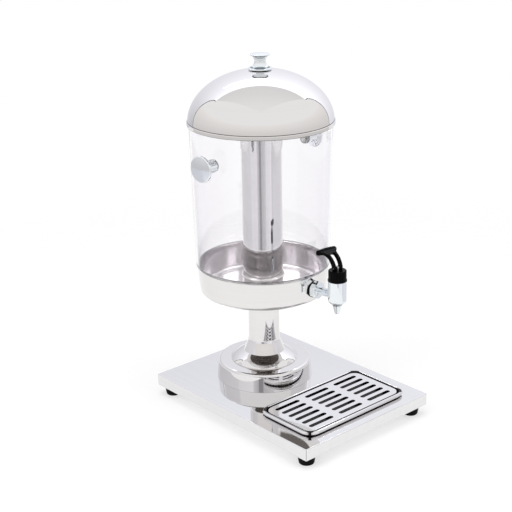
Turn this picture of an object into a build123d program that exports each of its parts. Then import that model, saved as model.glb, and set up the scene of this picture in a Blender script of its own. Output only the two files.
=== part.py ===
"""Juice dispenser: a clear tank in a steel pan on a column, with a dome lid, a tap and a drip tray.

Millimetres. The floor is Z = 0, the front is -Y, and the origin lies under the middle of the plate.
"""
import os
from math import cos, radians, sqrt, tan

from build123d import *

# Base plate, a folded sheet box with a return lip underneath
plate_width = 260.0
plate_depth = 346.0
plate_height = 19.0
plate_sheet = 1.2
plate_corner_radius = 2.5
plate_bend_radius = 1.6
plate_lip_width = 36.0
plate_opening_radius = 9.0

# Rubber feet and what holds them
foot_height = 15.0
foot_radius = 13.6
foot_taper = 2.4
foot_inset = 18.0
foot_recess_depth = 6.0
foot_screw_radius = 2.5
foot_screw_head_radius = 4.6
foot_screw_head_height = 2.8
foot_nut_flats = 8.0
foot_nut_height = 4.0
foot_screw_spare = 1.2
nut_chamfer_angle = 30.0

# Drum and column, spun from sheet
column_setback = 57.8
pedestal_sheet = 1.0
drum_top_radius = 73.1
drum_foot_radius = 75.9
drum_height = 29.0
drum_shoulder_radius = 5.0
column_radius = 24.5
column_height = 117.5
column_shoulder_radius = 2.5
trumpet_radius = 52.9
trumpet_height = 46.0

# Tie rod that clamps plate, drum, column, pan and tank in one stack
tie_rod_radius = 5.0
tie_nut_flats = 17.0
tie_nut_height = 8.0
tie_washer_thickness = 2.0
tie_washer_radius_below = 25.0
tie_washer_radius_above = 12.0
tie_rod_spare = 2.0

# Pan
pan_rim_radius = 102.8
pan_height = 45.0
pan_draft = 5.0
pan_sheet = 1.0
pan_bend_radius = 9.0
pan_boss_radius = 75.5
pan_boss_rise = 1.5
pan_boss_bend_radius = 0.7
pan_hem_radius = 0.9

# Clear tank: a stepped foot inside the pan and a drafted wall above it
tank_wall = 3.0
tank_foot_bend_radius = 8.0
tank_shoulder_radius = 104.2
tank_top_radius = 108.7
tank_height = 232.0
tank_turn = 7.0

# Ice tube, its socket and its cap
tube_radius = 31.0
tube_wall = 0.8
tube_length = 244.0
tube_floor_height = 16.0
socket_seal_radius = 22.0
socket_seal_thickness = 1.0
socket_sheet = 1.0
socket_height = 21.0
socket_bead_radius = 1.5
cap_wall = 0.8
cap_depth = 24.0
cap_edge_radius = 1.4

# Dome lid and its knob
dome_sheet = 0.8
dome_height = 78.5
dome_hem_height = 6.0
dome_hem_width = 2.3
lid_knob_height = 24.0
lid_knob_flange_radius = 18.1
lid_knob_flange_height = 2.0
lid_knob_waist_radius = 8.6
lid_knob_head_radius = 14.8
lid_knob_rim_height = 1.2
lid_knob_crown = 1.8
lid_screw_radius = 2.5
lid_screw_head_radius = 4.6
lid_screw_head_height = 3.0
lid_screw_engagement = 12.0
lid_washer_radius = 9.0
lid_washer_thickness = 1.0

# Carrying knobs on both sides of the tank
side_knob_height = 177.6
side_knob_stem_radius = 10.0
side_knob_head_radius = 19.8
side_knob_rim_distance = 24.0
side_knob_rim_height = 3.0
side_knob_crown = 4.5
side_screw_radius = 3.0
side_screw_engagement = 14.0
side_screw_head_radius = 5.5
side_screw_head_height = 3.5
side_washer_radius = 9.0
side_washer_thickness = 1.5

# Tap: casting, nuts, bonnet, stem and lever
tap_reach = 146.0
tap_height = 24.0
barrel_radius = 14.2
barrel_rise = 24.0
barrel_drop = 12.0
barrel_bend_radius = 6.0
barrel_bore_radius = 10.5
nozzle_length = 16.5
nozzle_top_radius = 7.8
nozzle_tip_radius = 3.5
nozzle_bore_radius = 2.2
nipple_radius = 6.3
shank_radius = 8.0
shank_bore_radius = 4.2
shank_spare = 2.0
outer_nut_flats = 25.0
outer_nut_height = 9.0
inner_nut_flats = 24.0
inner_nut_height = 6.0
gasket_radius = 13.0
gasket_thickness = 2.0
bonnet_radius = 13.7
bonnet_height = 17.0
bonnet_edge_radius = 1.5
bonnet_flange_radius = 14.6
bonnet_flange_height = 2.2
bonnet_plug_depth = 8.0
bonnet_wall = 2.6
bonnet_rib_count = 20
bonnet_rib_groove_radius = 0.9
stem_radius = 2.5
stem_eye_margin = 3.0
seat_cup_radius = 8.0
seat_cup_height = 7.0
seat_cup_floor = 3.5
spring_wire_radius = 0.6
spring_gap = 0.5
pin_radius = 1.2
pin_height = 3.0
lever_foot_depth = 6.4
lever_foot_radius = 0.6
lever_turn = -12.0
lever_rise = 19.7
lever_lean = 25.7
lever_foot_lean = 12.0
lever_thickness = 4.6
lever_base_width = 15.6
lever_neck_width = 17.0
lever_bar_width = 38.0
lever_bar_radius = 4.4
lever_bar_end_radius = 3.8
lever_leg_width = 4.4
lever_flare_radius = 10.0
lever_window_width = 11.0
lever_window_length = 23.0
lever_window_radius = 2.0

# Drip tray and its slotted grid
tray_width = 210.0
tray_depth = 113.0
tray_front_margin = 18.5
tray_sheet = 0.8
tray_rim_radius = 2.8
tray_height = 7.0
tray_corner_radius = 20.0
grid_gap = 2.0
grid_top = 6.0
grid_sheet = 1.0
grid_corner_radius = 14.0
slot_columns = 3
slot_rows = 6
slot_length = 48.0
slot_width = 7.0
slot_pitch_across = 61.7
slot_pitch_deep = 14.4

# Clearances
bolt_clearance = 0.3
running_clearance = 0.06
loose_clearance = 0.4
rest_gap = 0.3
pan_tank_gap = 0.5
lid_side_gap = 0.9

# Heights of the stack, from the floor up
lip_top = foot_height + plate_sheet
plate_top = foot_height + plate_height
drum_top = plate_top + drum_height
column_top = drum_top + column_height
pan_bottom = column_top - pan_boss_rise
pan_rim = pan_bottom + pan_height
tank_under = column_top + pan_sheet
tank_floor = tank_under + tank_wall
tank_shoulder = pan_rim + pan_hem_radius + rest_gap
tank_top = pan_rim + tank_height
socket_under = tank_floor + socket_seal_thickness
socket_floor = socket_under + socket_sheet
socket_top = socket_under + socket_height
tube_bottom = socket_floor + rest_gap
tube_top = tube_bottom + tube_length
cap_top = tube_top + rest_gap + cap_wall
tie_hole_radius = tie_rod_radius + bolt_clearance
tie_top_nut = socket_floor + tie_washer_thickness
tie_rod_top = tie_top_nut + tie_nut_height + tie_rod_spare
tie_low_washer = plate_top - plate_sheet - tie_washer_thickness
tie_low_nut = tie_low_washer - tie_nut_height
tie_rod_bottom = tie_low_nut - tie_rod_spare

# The dome comes to rest where its inside narrows to the lip of the tank
dome_radius = tank_top_radius + lid_side_gap + dome_sheet
dome_inner_radius = dome_radius - dome_sheet
dome_inner_height = dome_height - dome_sheet
lid_seat_ratio = (tank_top_radius + rest_gap) / dome_inner_radius
dome_base = tank_top - dome_inner_height * sqrt(1 - lid_seat_ratio**2)
dome_apex = dome_base + dome_height

# Tap levels and distances, measured from the crossing of barrel and nipple
pan_slope = tan(radians(pan_draft))
nipple_level = pan_bottom + tap_height
pan_face = tap_reach - pan_rim_radius + (pan_height - tap_height) * pan_slope
outer_nut_back = pan_face - gasket_thickness
inner_nut_front = pan_face + pan_sheet + pan_tank_gap + tank_wall + gasket_thickness
shank_end = inner_nut_front + inner_nut_height + shank_spare
nozzle_top = -barrel_drop
nozzle_tip = nozzle_top - nozzle_length
seat_level = nozzle_top + barrel_radius - barrel_bore_radius
stem_foot = seat_level + seat_cup_floor
spring_foot = seat_level + seat_cup_height
bonnet_top = barrel_rise + bonnet_height
pin_level = bonnet_top + pin_height
stem_top = pin_level + stem_eye_margin

# Places of the turned upper part
column_axis = Pos(0, column_setback, 0)
tank_place = column_axis * Rot(0, 0, tank_turn)
tap_place = tank_place * Pos(0, -tap_reach, nipple_level)
lever_place = tap_place * Pos(0, 0, pin_level) * Rot(0, 0, lever_turn)


def spun(face):
    """Solid of revolution of a face drawn as radius and height."""
    return revolve(Plane.XZ * face, Axis.Z)


def outline(points, radii):
    """Closed face with a rounded corner at each point."""
    return make_face(FilletPolyline(*points, radius=radii, close=True))


def ring(outer, inner, bottom, top):
    """Upright ring between two heights."""
    height = top - bottom
    middle = (top + bottom) / 2
    return Pos(0, 0, middle) * (Cylinder(outer, height) - Cylinder(inner, height))


def rod(radius, bottom, top):
    """Upright round bar between two heights."""
    return Pos(0, 0, (top + bottom) / 2) * Cylinder(radius, top - bottom)


def lying(radius, start, end):
    """Round bar along Y between two distances."""
    return Pos(0, (start + end) / 2, 0) * Rot(90, 0, 0) * Cylinder(radius, end - start)


def hex_nut(flats, height, bore, bottom):
    """Upright hexagon nut with its corners turned off."""
    corner = flats / sqrt(3)
    lead = (corner - flats / 2) * tan(radians(nut_chamfer_angle))
    turned = Polyline(
        (bore, 0),
        (flats / 2, 0),
        (corner, lead),
        (corner, height - lead),
        (flats / 2, height),
        (bore, height),
        close=True,
    )
    hexagon = extrude(RegularPolygon(flats / 2, 6, major_radius=False), height)
    return Pos(0, 0, bottom) * (hexagon & spun(make_face(turned)))


def pan_outside(height):
    """Outer radius of the pan's wall at a height above its bottom."""
    return pan_rim_radius - (pan_height - height) * pan_slope


def rounded_box(width, depth, radius, bottom, top):
    """Upright box with rounded upright corners."""
    return Pos(0, 0, bottom) * extrude(RectangleRounded(width, depth, radius), top - bottom)


def foot_places():
    """Middle of each foot on the floor."""
    across = plate_width - 2 * foot_inset
    deep = plate_depth - 2 * foot_inset
    return GridLocations(across, deep, 2, 2)


def base_plate():
    """Folded sheet box, open below inside its return lip."""
    box = rounded_box(plate_width, plate_depth, plate_corner_radius, foot_height, plate_top)
    box = fillet(box.faces().sort_by(Axis.Z)[-1].edges(), plate_bend_radius)
    inner_width = plate_width - 2 * plate_sheet
    inner_depth = plate_depth - 2 * plate_sheet
    inner_radius = plate_corner_radius - plate_sheet
    box -= rounded_box(inner_width, inner_depth, inner_radius, lip_top, plate_top - plate_sheet)
    open_width = plate_width - 2 * plate_lip_width
    open_depth = plate_depth - 2 * plate_lip_width
    box -= rounded_box(open_width, open_depth, plate_opening_radius, foot_height, lip_top)
    hole_radius = foot_screw_radius + bolt_clearance
    box -= foot_places() * rod(hole_radius, foot_height, lip_top)
    return box - column_axis * rod(tie_hole_radius, lip_top, plate_top)


def feet():
    """Four rubber feet, each with a recess below for its screw."""
    profile = outline(
        [
            (0, 0),
            (foot_radius - foot_taper, 0),
            (foot_radius, foot_height),
            (0, foot_height),
        ],
        [0, foot_taper, 0, 0],
    )
    recess_radius = foot_screw_head_radius + loose_clearance
    foot = spun(profile) - rod(recess_radius, 0, foot_recess_depth)
    foot -= rod(foot_screw_radius + bolt_clearance, foot_recess_depth, foot_height)
    return Compound(foot_places() * foot)


def foot_screws():
    """Screws up through the feet and the lip."""
    head_bottom = foot_recess_depth - foot_screw_head_height
    tip = lip_top + foot_nut_height + foot_screw_spare
    screw = rod(foot_screw_head_radius, head_bottom, foot_recess_depth)
    screw += rod(foot_screw_radius, foot_recess_depth, tip)
    return Compound(foot_places() * screw)


def foot_nuts():
    """Nuts on the lip, one to each foot."""
    nut = hex_nut(foot_nut_flats, foot_nut_height, foot_screw_radius, lip_top)
    return Compound(foot_places() * nut)


def pedestal_drum():
    """Drum of sheet, open below, flaring a little to its foot."""
    inner_shoulder = drum_shoulder_radius - pedestal_sheet
    profile = outline(
        [
            (tie_hole_radius, drum_top),
            (drum_top_radius, drum_top),
            (drum_foot_radius, plate_top),
            (drum_foot_radius - pedestal_sheet, plate_top),
            (drum_top_radius - pedestal_sheet, drum_top - pedestal_sheet),
            (tie_hole_radius, drum_top - pedestal_sheet),
        ],
        [0, drum_shoulder_radius, 0, 0, inner_shoulder, 0],
    )
    return column_axis * spun(profile)


def pedestal_column():
    """Column of sheet with a trumpet foot and a flat turned-in top."""
    inner_radius = column_radius - pedestal_sheet
    inner_top = column_top - pedestal_sheet
    flare_top = drum_top + trumpet_height
    outer_wall = FilletPolyline(
        (tie_hole_radius, column_top),
        (column_radius, column_top),
        (column_radius, flare_top),
        radius=[column_shoulder_radius],
    )
    outer_flare = TangentArc((column_radius, flare_top), (trumpet_radius, drum_top), tangent=(0, -1))
    edge = trumpet_radius - sqrt(2) * pedestal_sheet
    inner_flare = TangentArc((inner_radius, flare_top), (edge, drum_top), tangent=(0, -1))
    inner_wall = FilletPolyline(
        (inner_radius, flare_top),
        (inner_radius, inner_top),
        (tie_hole_radius, inner_top),
        radius=[column_shoulder_radius - pedestal_sheet],
    )
    foot_edge = Line((trumpet_radius, drum_top), (edge, drum_top))
    hole_edge = Line((tie_hole_radius, inner_top), (tie_hole_radius, column_top))
    curves = [outer_flare, foot_edge, inner_flare, hole_edge]
    profile = make_face([*outer_wall.edges(), *inner_wall.edges(), *curves])
    return column_axis * spun(profile)


def tie_rod():
    """Plain stud through the middle of the stack."""
    return column_axis * rod(tie_rod_radius, tie_rod_bottom, tie_rod_top)


def tie_nuts():
    """Nut under the plate and nut inside the ice tube socket."""
    levels = (tie_low_nut, tie_top_nut)
    nuts = [hex_nut(tie_nut_flats, tie_nut_height, tie_rod_radius, level) for level in levels]
    return column_axis * Compound(nuts)


def tie_washers():
    """Wide washer under the plate and a smaller one in the socket."""
    low = ring(tie_washer_radius_below, tie_hole_radius, tie_low_washer, plate_top - plate_sheet)
    high = ring(tie_washer_radius_above, tie_hole_radius, socket_floor, tie_top_nut)
    return column_axis * Compound([low, high])


def pan_profile(inset):
    """Points of the pan's section on one face of the sheet, from the middle out to the rim."""
    slope = inset * tan(radians(45 - pan_draft / 2))
    floor = column_top + inset
    trough = pan_bottom + inset
    wall_foot = pan_outside(0) - slope
    return [
        (tie_hole_radius, floor),
        (pan_boss_radius - pan_boss_rise, floor),
        (pan_boss_radius, trough),
        (wall_foot, trough),
        (pan_rim_radius - inset / cos(radians(pan_draft)), pan_rim),
    ]


def pan_filled():
    """The space inside the pan's outer face."""
    wall_foot = pan_outside(0)
    points = [(0, pan_bottom), (wall_foot, pan_bottom), (pan_rim_radius, pan_rim), (0, pan_rim)]
    return column_axis * spun(outline(points, [0, pan_bend_radius, 0, 0]))


def pan():
    """Drawn pan with a raised floor, a hemmed rim and a hole for the tap."""
    outer = pan_profile(0)
    inner = pan_profile(pan_sheet)
    bend = pan_boss_bend_radius
    radii = [0, bend, bend, pan_bend_radius, 0, 0, pan_bend_radius - pan_sheet, bend, bend, 0]
    dish = spun(outline(outer + inner[::-1], radii))
    hem_middle = pan_rim_radius - pan_sheet / 2
    hem = spun(Pos(hem_middle, pan_rim) * Circle(pan_hem_radius))
    hole = tap_place * lying(shank_radius + bolt_clearance, 0, tap_reach - pan_boss_radius)
    return column_axis * (dish + hem) - hole


def tank_outside():
    """Points of the tank's outer face from its floor up to its lip."""
    fit = pan_sheet / cos(radians(pan_draft)) + pan_tank_gap
    under = tank_under - pan_bottom
    return [
        (pan_outside(under) - fit, tank_under),
        (pan_rim_radius - fit, tank_shoulder),
        (tank_shoulder_radius, tank_shoulder),
        (tank_top_radius, tank_top),
    ]


def tank_cavity():
    """The space inside the tank."""
    foot, waist, shoulder, lip = tank_outside()
    points = [
        (0, tank_floor),
        (foot[0] - tank_wall, tank_floor),
        (waist[0] - tank_wall, tank_shoulder),
        (shoulder[0] - tank_wall, tank_shoulder + tank_wall),
        (lip[0] - tank_wall, tank_top),
        (0, tank_top),
    ]
    return column_axis * spun(outline(points, [0, tank_foot_bend_radius - tank_wall, 0, 0, 0, 0]))


def tank_filled():
    """The space inside the tank's outer face."""
    points = [(0, tank_under), *tank_outside(), (0, tank_top)]
    return column_axis * spun(outline(points, [0, tank_foot_bend_radius, 0, 0, 0, 0]))


def tank():
    """Clear tank: stepped foot, drafted wall, holes for tie rod, tap and knob screws."""
    body = tank_filled() - tank_cavity()
    body -= column_axis * rod(tie_hole_radius, tank_under, tank_floor)
    body -= tap_place * lying(shank_radius + bolt_clearance, 0, tap_reach - pan_boss_radius)
    for place in side_knob_places():
        body -= place * lying(side_screw_radius + bolt_clearance, -tank_wall, 2 * tank_wall)
    return body


def socket_seal():
    """Silicone washer between the socket and the tank's floor."""
    return column_axis * ring(socket_seal_radius, tie_hole_radius, tank_floor, socket_under)


def ice_tube_socket():
    """Steel cup with a rolled rim that the ice tube stands in."""
    inner_radius = tube_radius + loose_clearance
    outer_radius = inner_radius + socket_sheet
    bead_level = socket_top - socket_bead_radius
    cup = rod(outer_radius, socket_under, bead_level)
    cup -= rod(inner_radius, socket_floor, socket_top)
    bead = spun(Pos(inner_radius + socket_bead_radius, bead_level) * Circle(socket_bead_radius))
    return column_axis * (cup + bead - rod(tie_hole_radius, socket_under, socket_floor))


def ice_tube():
    """Steel tube for ice with a floor set up inside it."""
    body = ring(tube_radius, tube_radius - tube_wall, tube_bottom, tube_top)
    floor_bottom = tube_bottom + tube_floor_height
    body += rod(tube_radius, floor_bottom, floor_bottom + tube_wall)
    return column_axis * body


def ice_tube_cap():
    """Slip-on cap of the ice tube."""
    inner_radius = tube_radius + loose_clearance
    outer_radius = inner_radius + cap_wall
    bottom = cap_top - cap_depth
    profile = outline(
        [
            (0, cap_top),
            (outer_radius, cap_top),
            (outer_radius, bottom),
            (inner_radius, bottom),
            (inner_radius, cap_top - cap_wall),
            (0, cap_top - cap_wall),
        ],
        [0, cap_edge_radius, 0, 0, cap_edge_radius - cap_wall, 0],
    )
    return column_axis * spun(profile)


def lid_dome():
    """Spun dome with a rolled hem round its rim and a hole for the knob's screw."""
    outer = EllipticalCenterArc((0, dome_base), dome_radius, dome_height, arc_size=90)
    inner = EllipticalCenterArc((0, dome_base), dome_inner_radius, dome_inner_height, arc_size=90)
    top = Line((0, dome_apex), (0, dome_apex - dome_sheet))
    foot = Line((dome_radius, dome_base), (dome_inner_radius, dome_base))
    dome = spun(make_face([outer, top, inner, foot]))
    hem_middle = dome_inner_radius - rest_gap + dome_hem_width / 2
    dome += spun(Pos(hem_middle, dome_base) * Rot(0, 0, 90) * SlotOverall(dome_hem_height, dome_hem_width))
    return column_axis * (dome - rod(lid_screw_radius + bolt_clearance, dome_base, dome_apex))


def lid_knob():
    """Chrome spool knob: flange, hollow waist and flat head, with a blind hole below."""
    rim_top = lid_knob_height - lid_knob_crown
    rim_bottom = rim_top - lid_knob_rim_height
    neck = ThreePointArc(
        (lid_knob_flange_radius, lid_knob_flange_height),
        (lid_knob_waist_radius, (lid_knob_flange_height + rim_bottom) / 2),
        (lid_knob_head_radius, rim_bottom),
    )
    crown = TangentArc((0, lid_knob_height), (lid_knob_head_radius, rim_top), tangent=(1, 0))
    rim = Line((lid_knob_head_radius, rim_bottom), (lid_knob_head_radius, rim_top))
    axis = Line((0, lid_knob_height), (0, 0))
    under = Line((0, 0), (lid_knob_flange_radius, 0))
    edge = Line((lid_knob_flange_radius, 0), (lid_knob_flange_radius, lid_knob_flange_height))
    knob = spun(make_face([axis, under, edge, neck, rim, crown]))
    return column_axis * Pos(0, 0, dome_apex) * (knob - rod(lid_screw_radius, 0, lid_screw_engagement))


def lid_washer_level():
    """Top of the washer, just under the inside of the dome."""
    sag = 1 - sqrt(1 - (lid_washer_radius / dome_inner_radius) ** 2)
    return dome_apex - dome_sheet - dome_inner_height * sag


def lid_knob_screw():
    """Screw up through the washer and the dome into the knob."""
    head_top = lid_washer_level() - lid_washer_thickness
    screw = rod(lid_screw_radius, head_top, dome_apex + lid_screw_engagement)
    screw += rod(lid_screw_head_radius, head_top - lid_screw_head_height, head_top)
    return column_axis * screw


def lid_knob_washer():
    """Washer inside the dome under the screw's head."""
    top = lid_washer_level()
    bore = lid_screw_radius + bolt_clearance
    return column_axis * ring(lid_washer_radius, bore, top - lid_washer_thickness, top)


def side_knob_places():
    """Frames of the two knobs, each with -Y pointing out of the tank."""
    level = pan_rim + side_knob_height
    wall = tank_wall_radius(level)
    return [tank_place * Rot(0, 0, turn) * Pos(0, -wall, level) for turn in (-90, 90)]


def tank_wall_radius(level):
    """Outer radius of the tank at a height above the floor."""
    share = (level - tank_shoulder) / (tank_top - tank_shoulder)
    return tank_shoulder_radius + share * (tank_top_radius - tank_shoulder_radius)


def side_knob():
    """One knob, standing up from the tank's wall along Z."""
    rim_bottom = side_knob_rim_distance - side_knob_rim_height / 2
    rim_top = rim_bottom + side_knob_rim_height
    crown = TangentArc((0, rim_top + side_knob_crown), (side_knob_head_radius, rim_top), tangent=(1, 0))
    flank = Polyline(
        (0, rim_top + side_knob_crown),
        (0, -side_knob_stem_radius),
        (side_knob_stem_radius, -side_knob_stem_radius),
        (side_knob_stem_radius, rim_bottom - side_knob_rim_height),
        (side_knob_head_radius, rim_bottom),
        (side_knob_head_radius, rim_top),
    )
    return spun(make_face([*flank.edges(), crown]))


def side_knobs():
    """Both knobs, their stems cut to the tank's wall and drilled for the screws."""
    wall = tank_filled()
    hole = lying(side_screw_radius, -side_screw_engagement, side_knob_stem_radius)
    knobs = [place * (Rot(90, 0, 0) * side_knob() - hole) - wall for place in side_knob_places()]
    return Compound(knobs)


def side_knob_screws():
    """Screws from inside the tank into the knobs."""
    head_face = tank_wall + side_washer_thickness
    screw = lying(side_screw_radius, -side_screw_engagement, head_face)
    screw += lying(side_screw_head_radius, head_face, head_face + side_screw_head_height)
    return Compound([place * screw for place in side_knob_places()])


def side_knob_washers():
    """Washers under the screw heads, shaped to the inside of the tank."""
    inside = tank_cavity()
    blank = lying(side_washer_radius, 0, tank_wall + side_washer_thickness)
    blank -= lying(side_screw_radius + bolt_clearance, 0, tank_wall + side_washer_thickness)
    return Compound([place * blank & inside for place in side_knob_places()])


def tap_body():
    """Casting with nozzle, barrel, nipple and threaded shank, bored right through."""
    profile = outline(
        [
            (0, nozzle_tip),
            (nozzle_tip_radius, nozzle_tip),
            (nozzle_top_radius, nozzle_top),
            (barrel_radius, nozzle_top),
            (barrel_radius, barrel_rise),
            (0, barrel_rise),
        ],
        [0, 0, 0, barrel_bend_radius, 0, 0],
    )
    body = spun(profile) + lying(nipple_radius, 0, outer_nut_back)
    body += lying(shank_radius, outer_nut_back - outer_nut_height, shank_end)
    body -= rod(barrel_bore_radius, seat_level, barrel_rise)
    body -= rod(nozzle_bore_radius, nozzle_tip, seat_level)
    return tap_place * (body - lying(shank_bore_radius, 0, shank_end))


def tap_outer_nut():
    """Hexagon nut outside the pan."""
    nut = hex_nut(outer_nut_flats, outer_nut_height, shank_radius, 0)
    return tap_place * Pos(0, outer_nut_back, 0) * Rot(90, 0, 0) * nut


def tap_inner_nut():
    """Hexagon nut inside the tank."""
    nut = hex_nut(inner_nut_flats, inner_nut_height, shank_radius, 0)
    return tap_place * Pos(0, inner_nut_front + inner_nut_height, 0) * Rot(90, 0, 0) * nut


def tap_gaskets():
    """Rubber rings between the nuts and the curved walls."""
    blank = lying(gasket_radius, outer_nut_back, inner_nut_front)
    blank -= lying(shank_radius, outer_nut_back, inner_nut_front)
    sleeve = tap_place * blank
    return Compound([sleeve - pan_filled(), sleeve & tank_cavity()])


def tap_bonnet():
    """Ribbed cap with a plug into the barrel and a hole for the stem."""
    cap = rod(bonnet_radius, barrel_rise, bonnet_top)
    cap = fillet(cap.edges().sort_by(Axis.Z)[-1], bonnet_edge_radius)
    grooves = PolarLocations(bonnet_radius, bonnet_rib_count)
    cap -= grooves * rod(bonnet_rib_groove_radius, barrel_rise, bonnet_top)
    cap += rod(bonnet_flange_radius, barrel_rise, barrel_rise + bonnet_flange_height)
    plug_radius = barrel_bore_radius - running_clearance
    cap += rod(plug_radius, barrel_rise - bonnet_plug_depth, barrel_rise)
    cap -= rod(plug_radius - bonnet_wall, barrel_rise - bonnet_plug_depth, bonnet_top - bonnet_wall)
    return tap_place * (cap - rod(stem_radius + running_clearance, barrel_rise, bonnet_top))


def tap_stem():
    """Stem with a cross hole at its top for the lever's pin."""
    stem = rod(stem_radius, stem_foot, stem_top)
    hole = lever_place * Rot(0, 90, 0) * Cylinder(pin_radius, 2 * stem_radius)
    return tap_place * stem - hole


def tap_seat_cup():
    """Silicone cup on the foot of the stem that closes the nozzle."""
    cup = rod(seat_cup_radius, seat_level, spring_foot)
    return tap_place * (cup - rod(stem_radius, stem_foot, spring_foot))


def tap_spring():
    """Envelope of the return spring between the seat cup and the bonnet."""
    inner_radius = stem_radius + spring_gap
    outer_radius = inner_radius + 2 * spring_wire_radius
    return tap_place * ring(outer_radius, inner_radius, spring_foot, bonnet_top - bonnet_wall)


def lever_side():
    """Band of the lever seen from the side: steep at the pin, then bending back."""
    steep = (tan(radians(lever_foot_lean)), 1)
    return SlotArc(TangentArc((0, 0), (lever_lean, lever_rise), tangent=steep), lever_thickness)


def lever_loop():
    """Loop of the lever seen square to its lean: two legs that spread out to a bar."""
    base = lever_base_width / 2
    neck = lever_neck_width / 2
    wide = lever_bar_width / 2 - lever_bar_end_radius
    top = sqrt(lever_lean**2 + lever_rise**2)
    low = top - 2 * lever_bar_radius
    foot = -lever_thickness
    right = [(base, foot), (neck, low), (wide, top - lever_bar_radius / 2), (wide, top)]
    left = [(-across, up) for across, up in reversed(right)]
    flare = lever_flare_radius
    loop = outline(right + left, [0, flare, 0, 0, 0, 0, flare, 0])
    inner_base = base - lever_leg_width
    inner_top = lever_window_width / 2
    window = outline(
        [
            (inner_base, foot),
            (inner_top, lever_window_length),
            (-inner_top, lever_window_length),
            (-inner_base, foot),
        ],
        [0, lever_window_radius, lever_window_radius, 0],
    )
    return Plane((0, 0, 0), x_dir=(1, 0, 0), z_dir=(0, -lever_rise, lever_lean)) * (loop - window)


def lever_bar():
    """Round finger bar across the top of the lever."""
    bar = Rot(0, 90, 0) * Cylinder(lever_bar_radius, lever_bar_width)
    bar = fillet(bar.edges().filter_by(GeomType.CIRCLE), lever_bar_end_radius)
    return Pos(0, lever_lean, lever_rise) * bar


def lever_foot():
    """Block round the pin whose lower front edge rolls on the bonnet."""
    height = 2 * (pin_height - running_clearance)
    block = Box(lever_base_width, lever_foot_depth, height)
    return fillet(block.edges().filter_by(Axis.X), lever_foot_radius)


def tap_lever():
    """Loop lever whose two feet straddle the stem and roll on the bonnet."""
    reach = lever_rise + lever_lean
    band = extrude(Plane.YZ * lever_side(), lever_bar_width, both=True)
    lever = band & extrude(lever_loop(), reach, both=True)
    lever += lever_bar()
    lever += lever_foot()
    slot_height = 2 * (stem_eye_margin + stem_radius)
    lever -= Box(2 * (stem_radius + loose_clearance), reach, slot_height)
    lever -= Rot(0, 90, 0) * Cylinder(pin_radius, lever_base_width)
    return lever_place * lever


def tap_pin():
    """Pivot pin through the lever's cheeks and the stem."""
    return lever_place * Rot(0, 90, 0) * Cylinder(pin_radius, lever_base_width)


def tray_place():
    """Middle of the tray on the plate."""
    forward = plate_depth / 2 - tray_front_margin - tray_depth / 2
    return Pos(0, -forward, plate_top)


def drip_tray():
    """Shallow pressed tray with its rim rolled round a wire."""
    rim_width = tray_width - 2 * tray_rim_radius
    rim_depth = tray_depth - 2 * tray_rim_radius
    rim_corner = tray_corner_radius - tray_rim_radius
    rim_level = tray_height - tray_rim_radius
    path = RectangleRounded(rim_width, rim_depth, rim_corner).wire()
    start = path @ 0
    section = Plane(origin=start, z_dir=path % 0) * Circle(tray_rim_radius)
    rim = Pos(0, 0, rim_level) * sweep(section, path)
    wall_width = rim_width - 2 * tray_rim_radius + 2 * tray_sheet
    wall_depth = rim_depth - 2 * tray_rim_radius + 2 * tray_sheet
    wall_corner = rim_corner - tray_rim_radius + tray_sheet
    dish = rounded_box(wall_width, wall_depth, wall_corner, 0, rim_level)
    bowl = rounded_box(
        wall_width - 2 * tray_sheet,
        wall_depth - 2 * tray_sheet,
        wall_corner - tray_sheet,
        tray_sheet,
        tray_height,
    )
    return tray_place() * (dish + rim - bowl)


def drip_grid():
    """Slotted cover with turned-down edges that stands in the tray."""
    width = tray_width - 4 * tray_rim_radius - 2 * grid_gap
    depth = tray_depth - 4 * tray_rim_radius - 2 * grid_gap
    cover = rounded_box(width, depth, grid_corner_radius, tray_sheet, grid_top)
    cover = fillet(cover.faces().sort_by(Axis.Z)[-1].edges(), grid_sheet)
    inner = grid_corner_radius - grid_sheet
    cover -= rounded_box(width - 2 * grid_sheet, depth - 2 * grid_sheet, inner, 0, grid_top - grid_sheet)
    slots = GridLocations(slot_pitch_across, slot_pitch_deep, slot_columns, slot_rows)
    cutter = extrude(SlotOverall(slot_length, slot_width), grid_top)
    return tray_place() * (cover - slots * cutter)


NODES = [
    base_plate,
    feet,
    foot_screws,
    foot_nuts,
    pedestal_drum,
    pedestal_column,
    tie_rod,
    tie_nuts,
    tie_washers,
    pan,
    tank,
    socket_seal,
    ice_tube_socket,
    ice_tube,
    ice_tube_cap,
    lid_dome,
    lid_knob,
    lid_knob_screw,
    lid_knob_washer,
    side_knobs,
    side_knob_screws,
    side_knob_washers,
    tap_body,
    tap_outer_nut,
    tap_inner_nut,
    tap_gaskets,
    tap_bonnet,
    tap_stem,
    tap_seat_cup,
    tap_spring,
    tap_lever,
    tap_pin,
    drip_tray,
    drip_grid,
]

os.makedirs("parts", exist_ok=True)
for node in NODES:
    export_step(node(), f"parts/{node.__name__}.step")
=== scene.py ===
# %% [markdown]
# # A juice dispenser in polished steel and clear plastic
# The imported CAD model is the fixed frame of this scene: its pieces already have their
# places and sizes. Mirror finishes show every facet of a coarse mesh, so each visible
# piece is modelled again here as a fine mesh at the same place, and the pieces that
# stay hidden keep their CAD solids with a proper finish.

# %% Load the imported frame
import math

import bpy
from mathutils import Matrix, Vector


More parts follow.
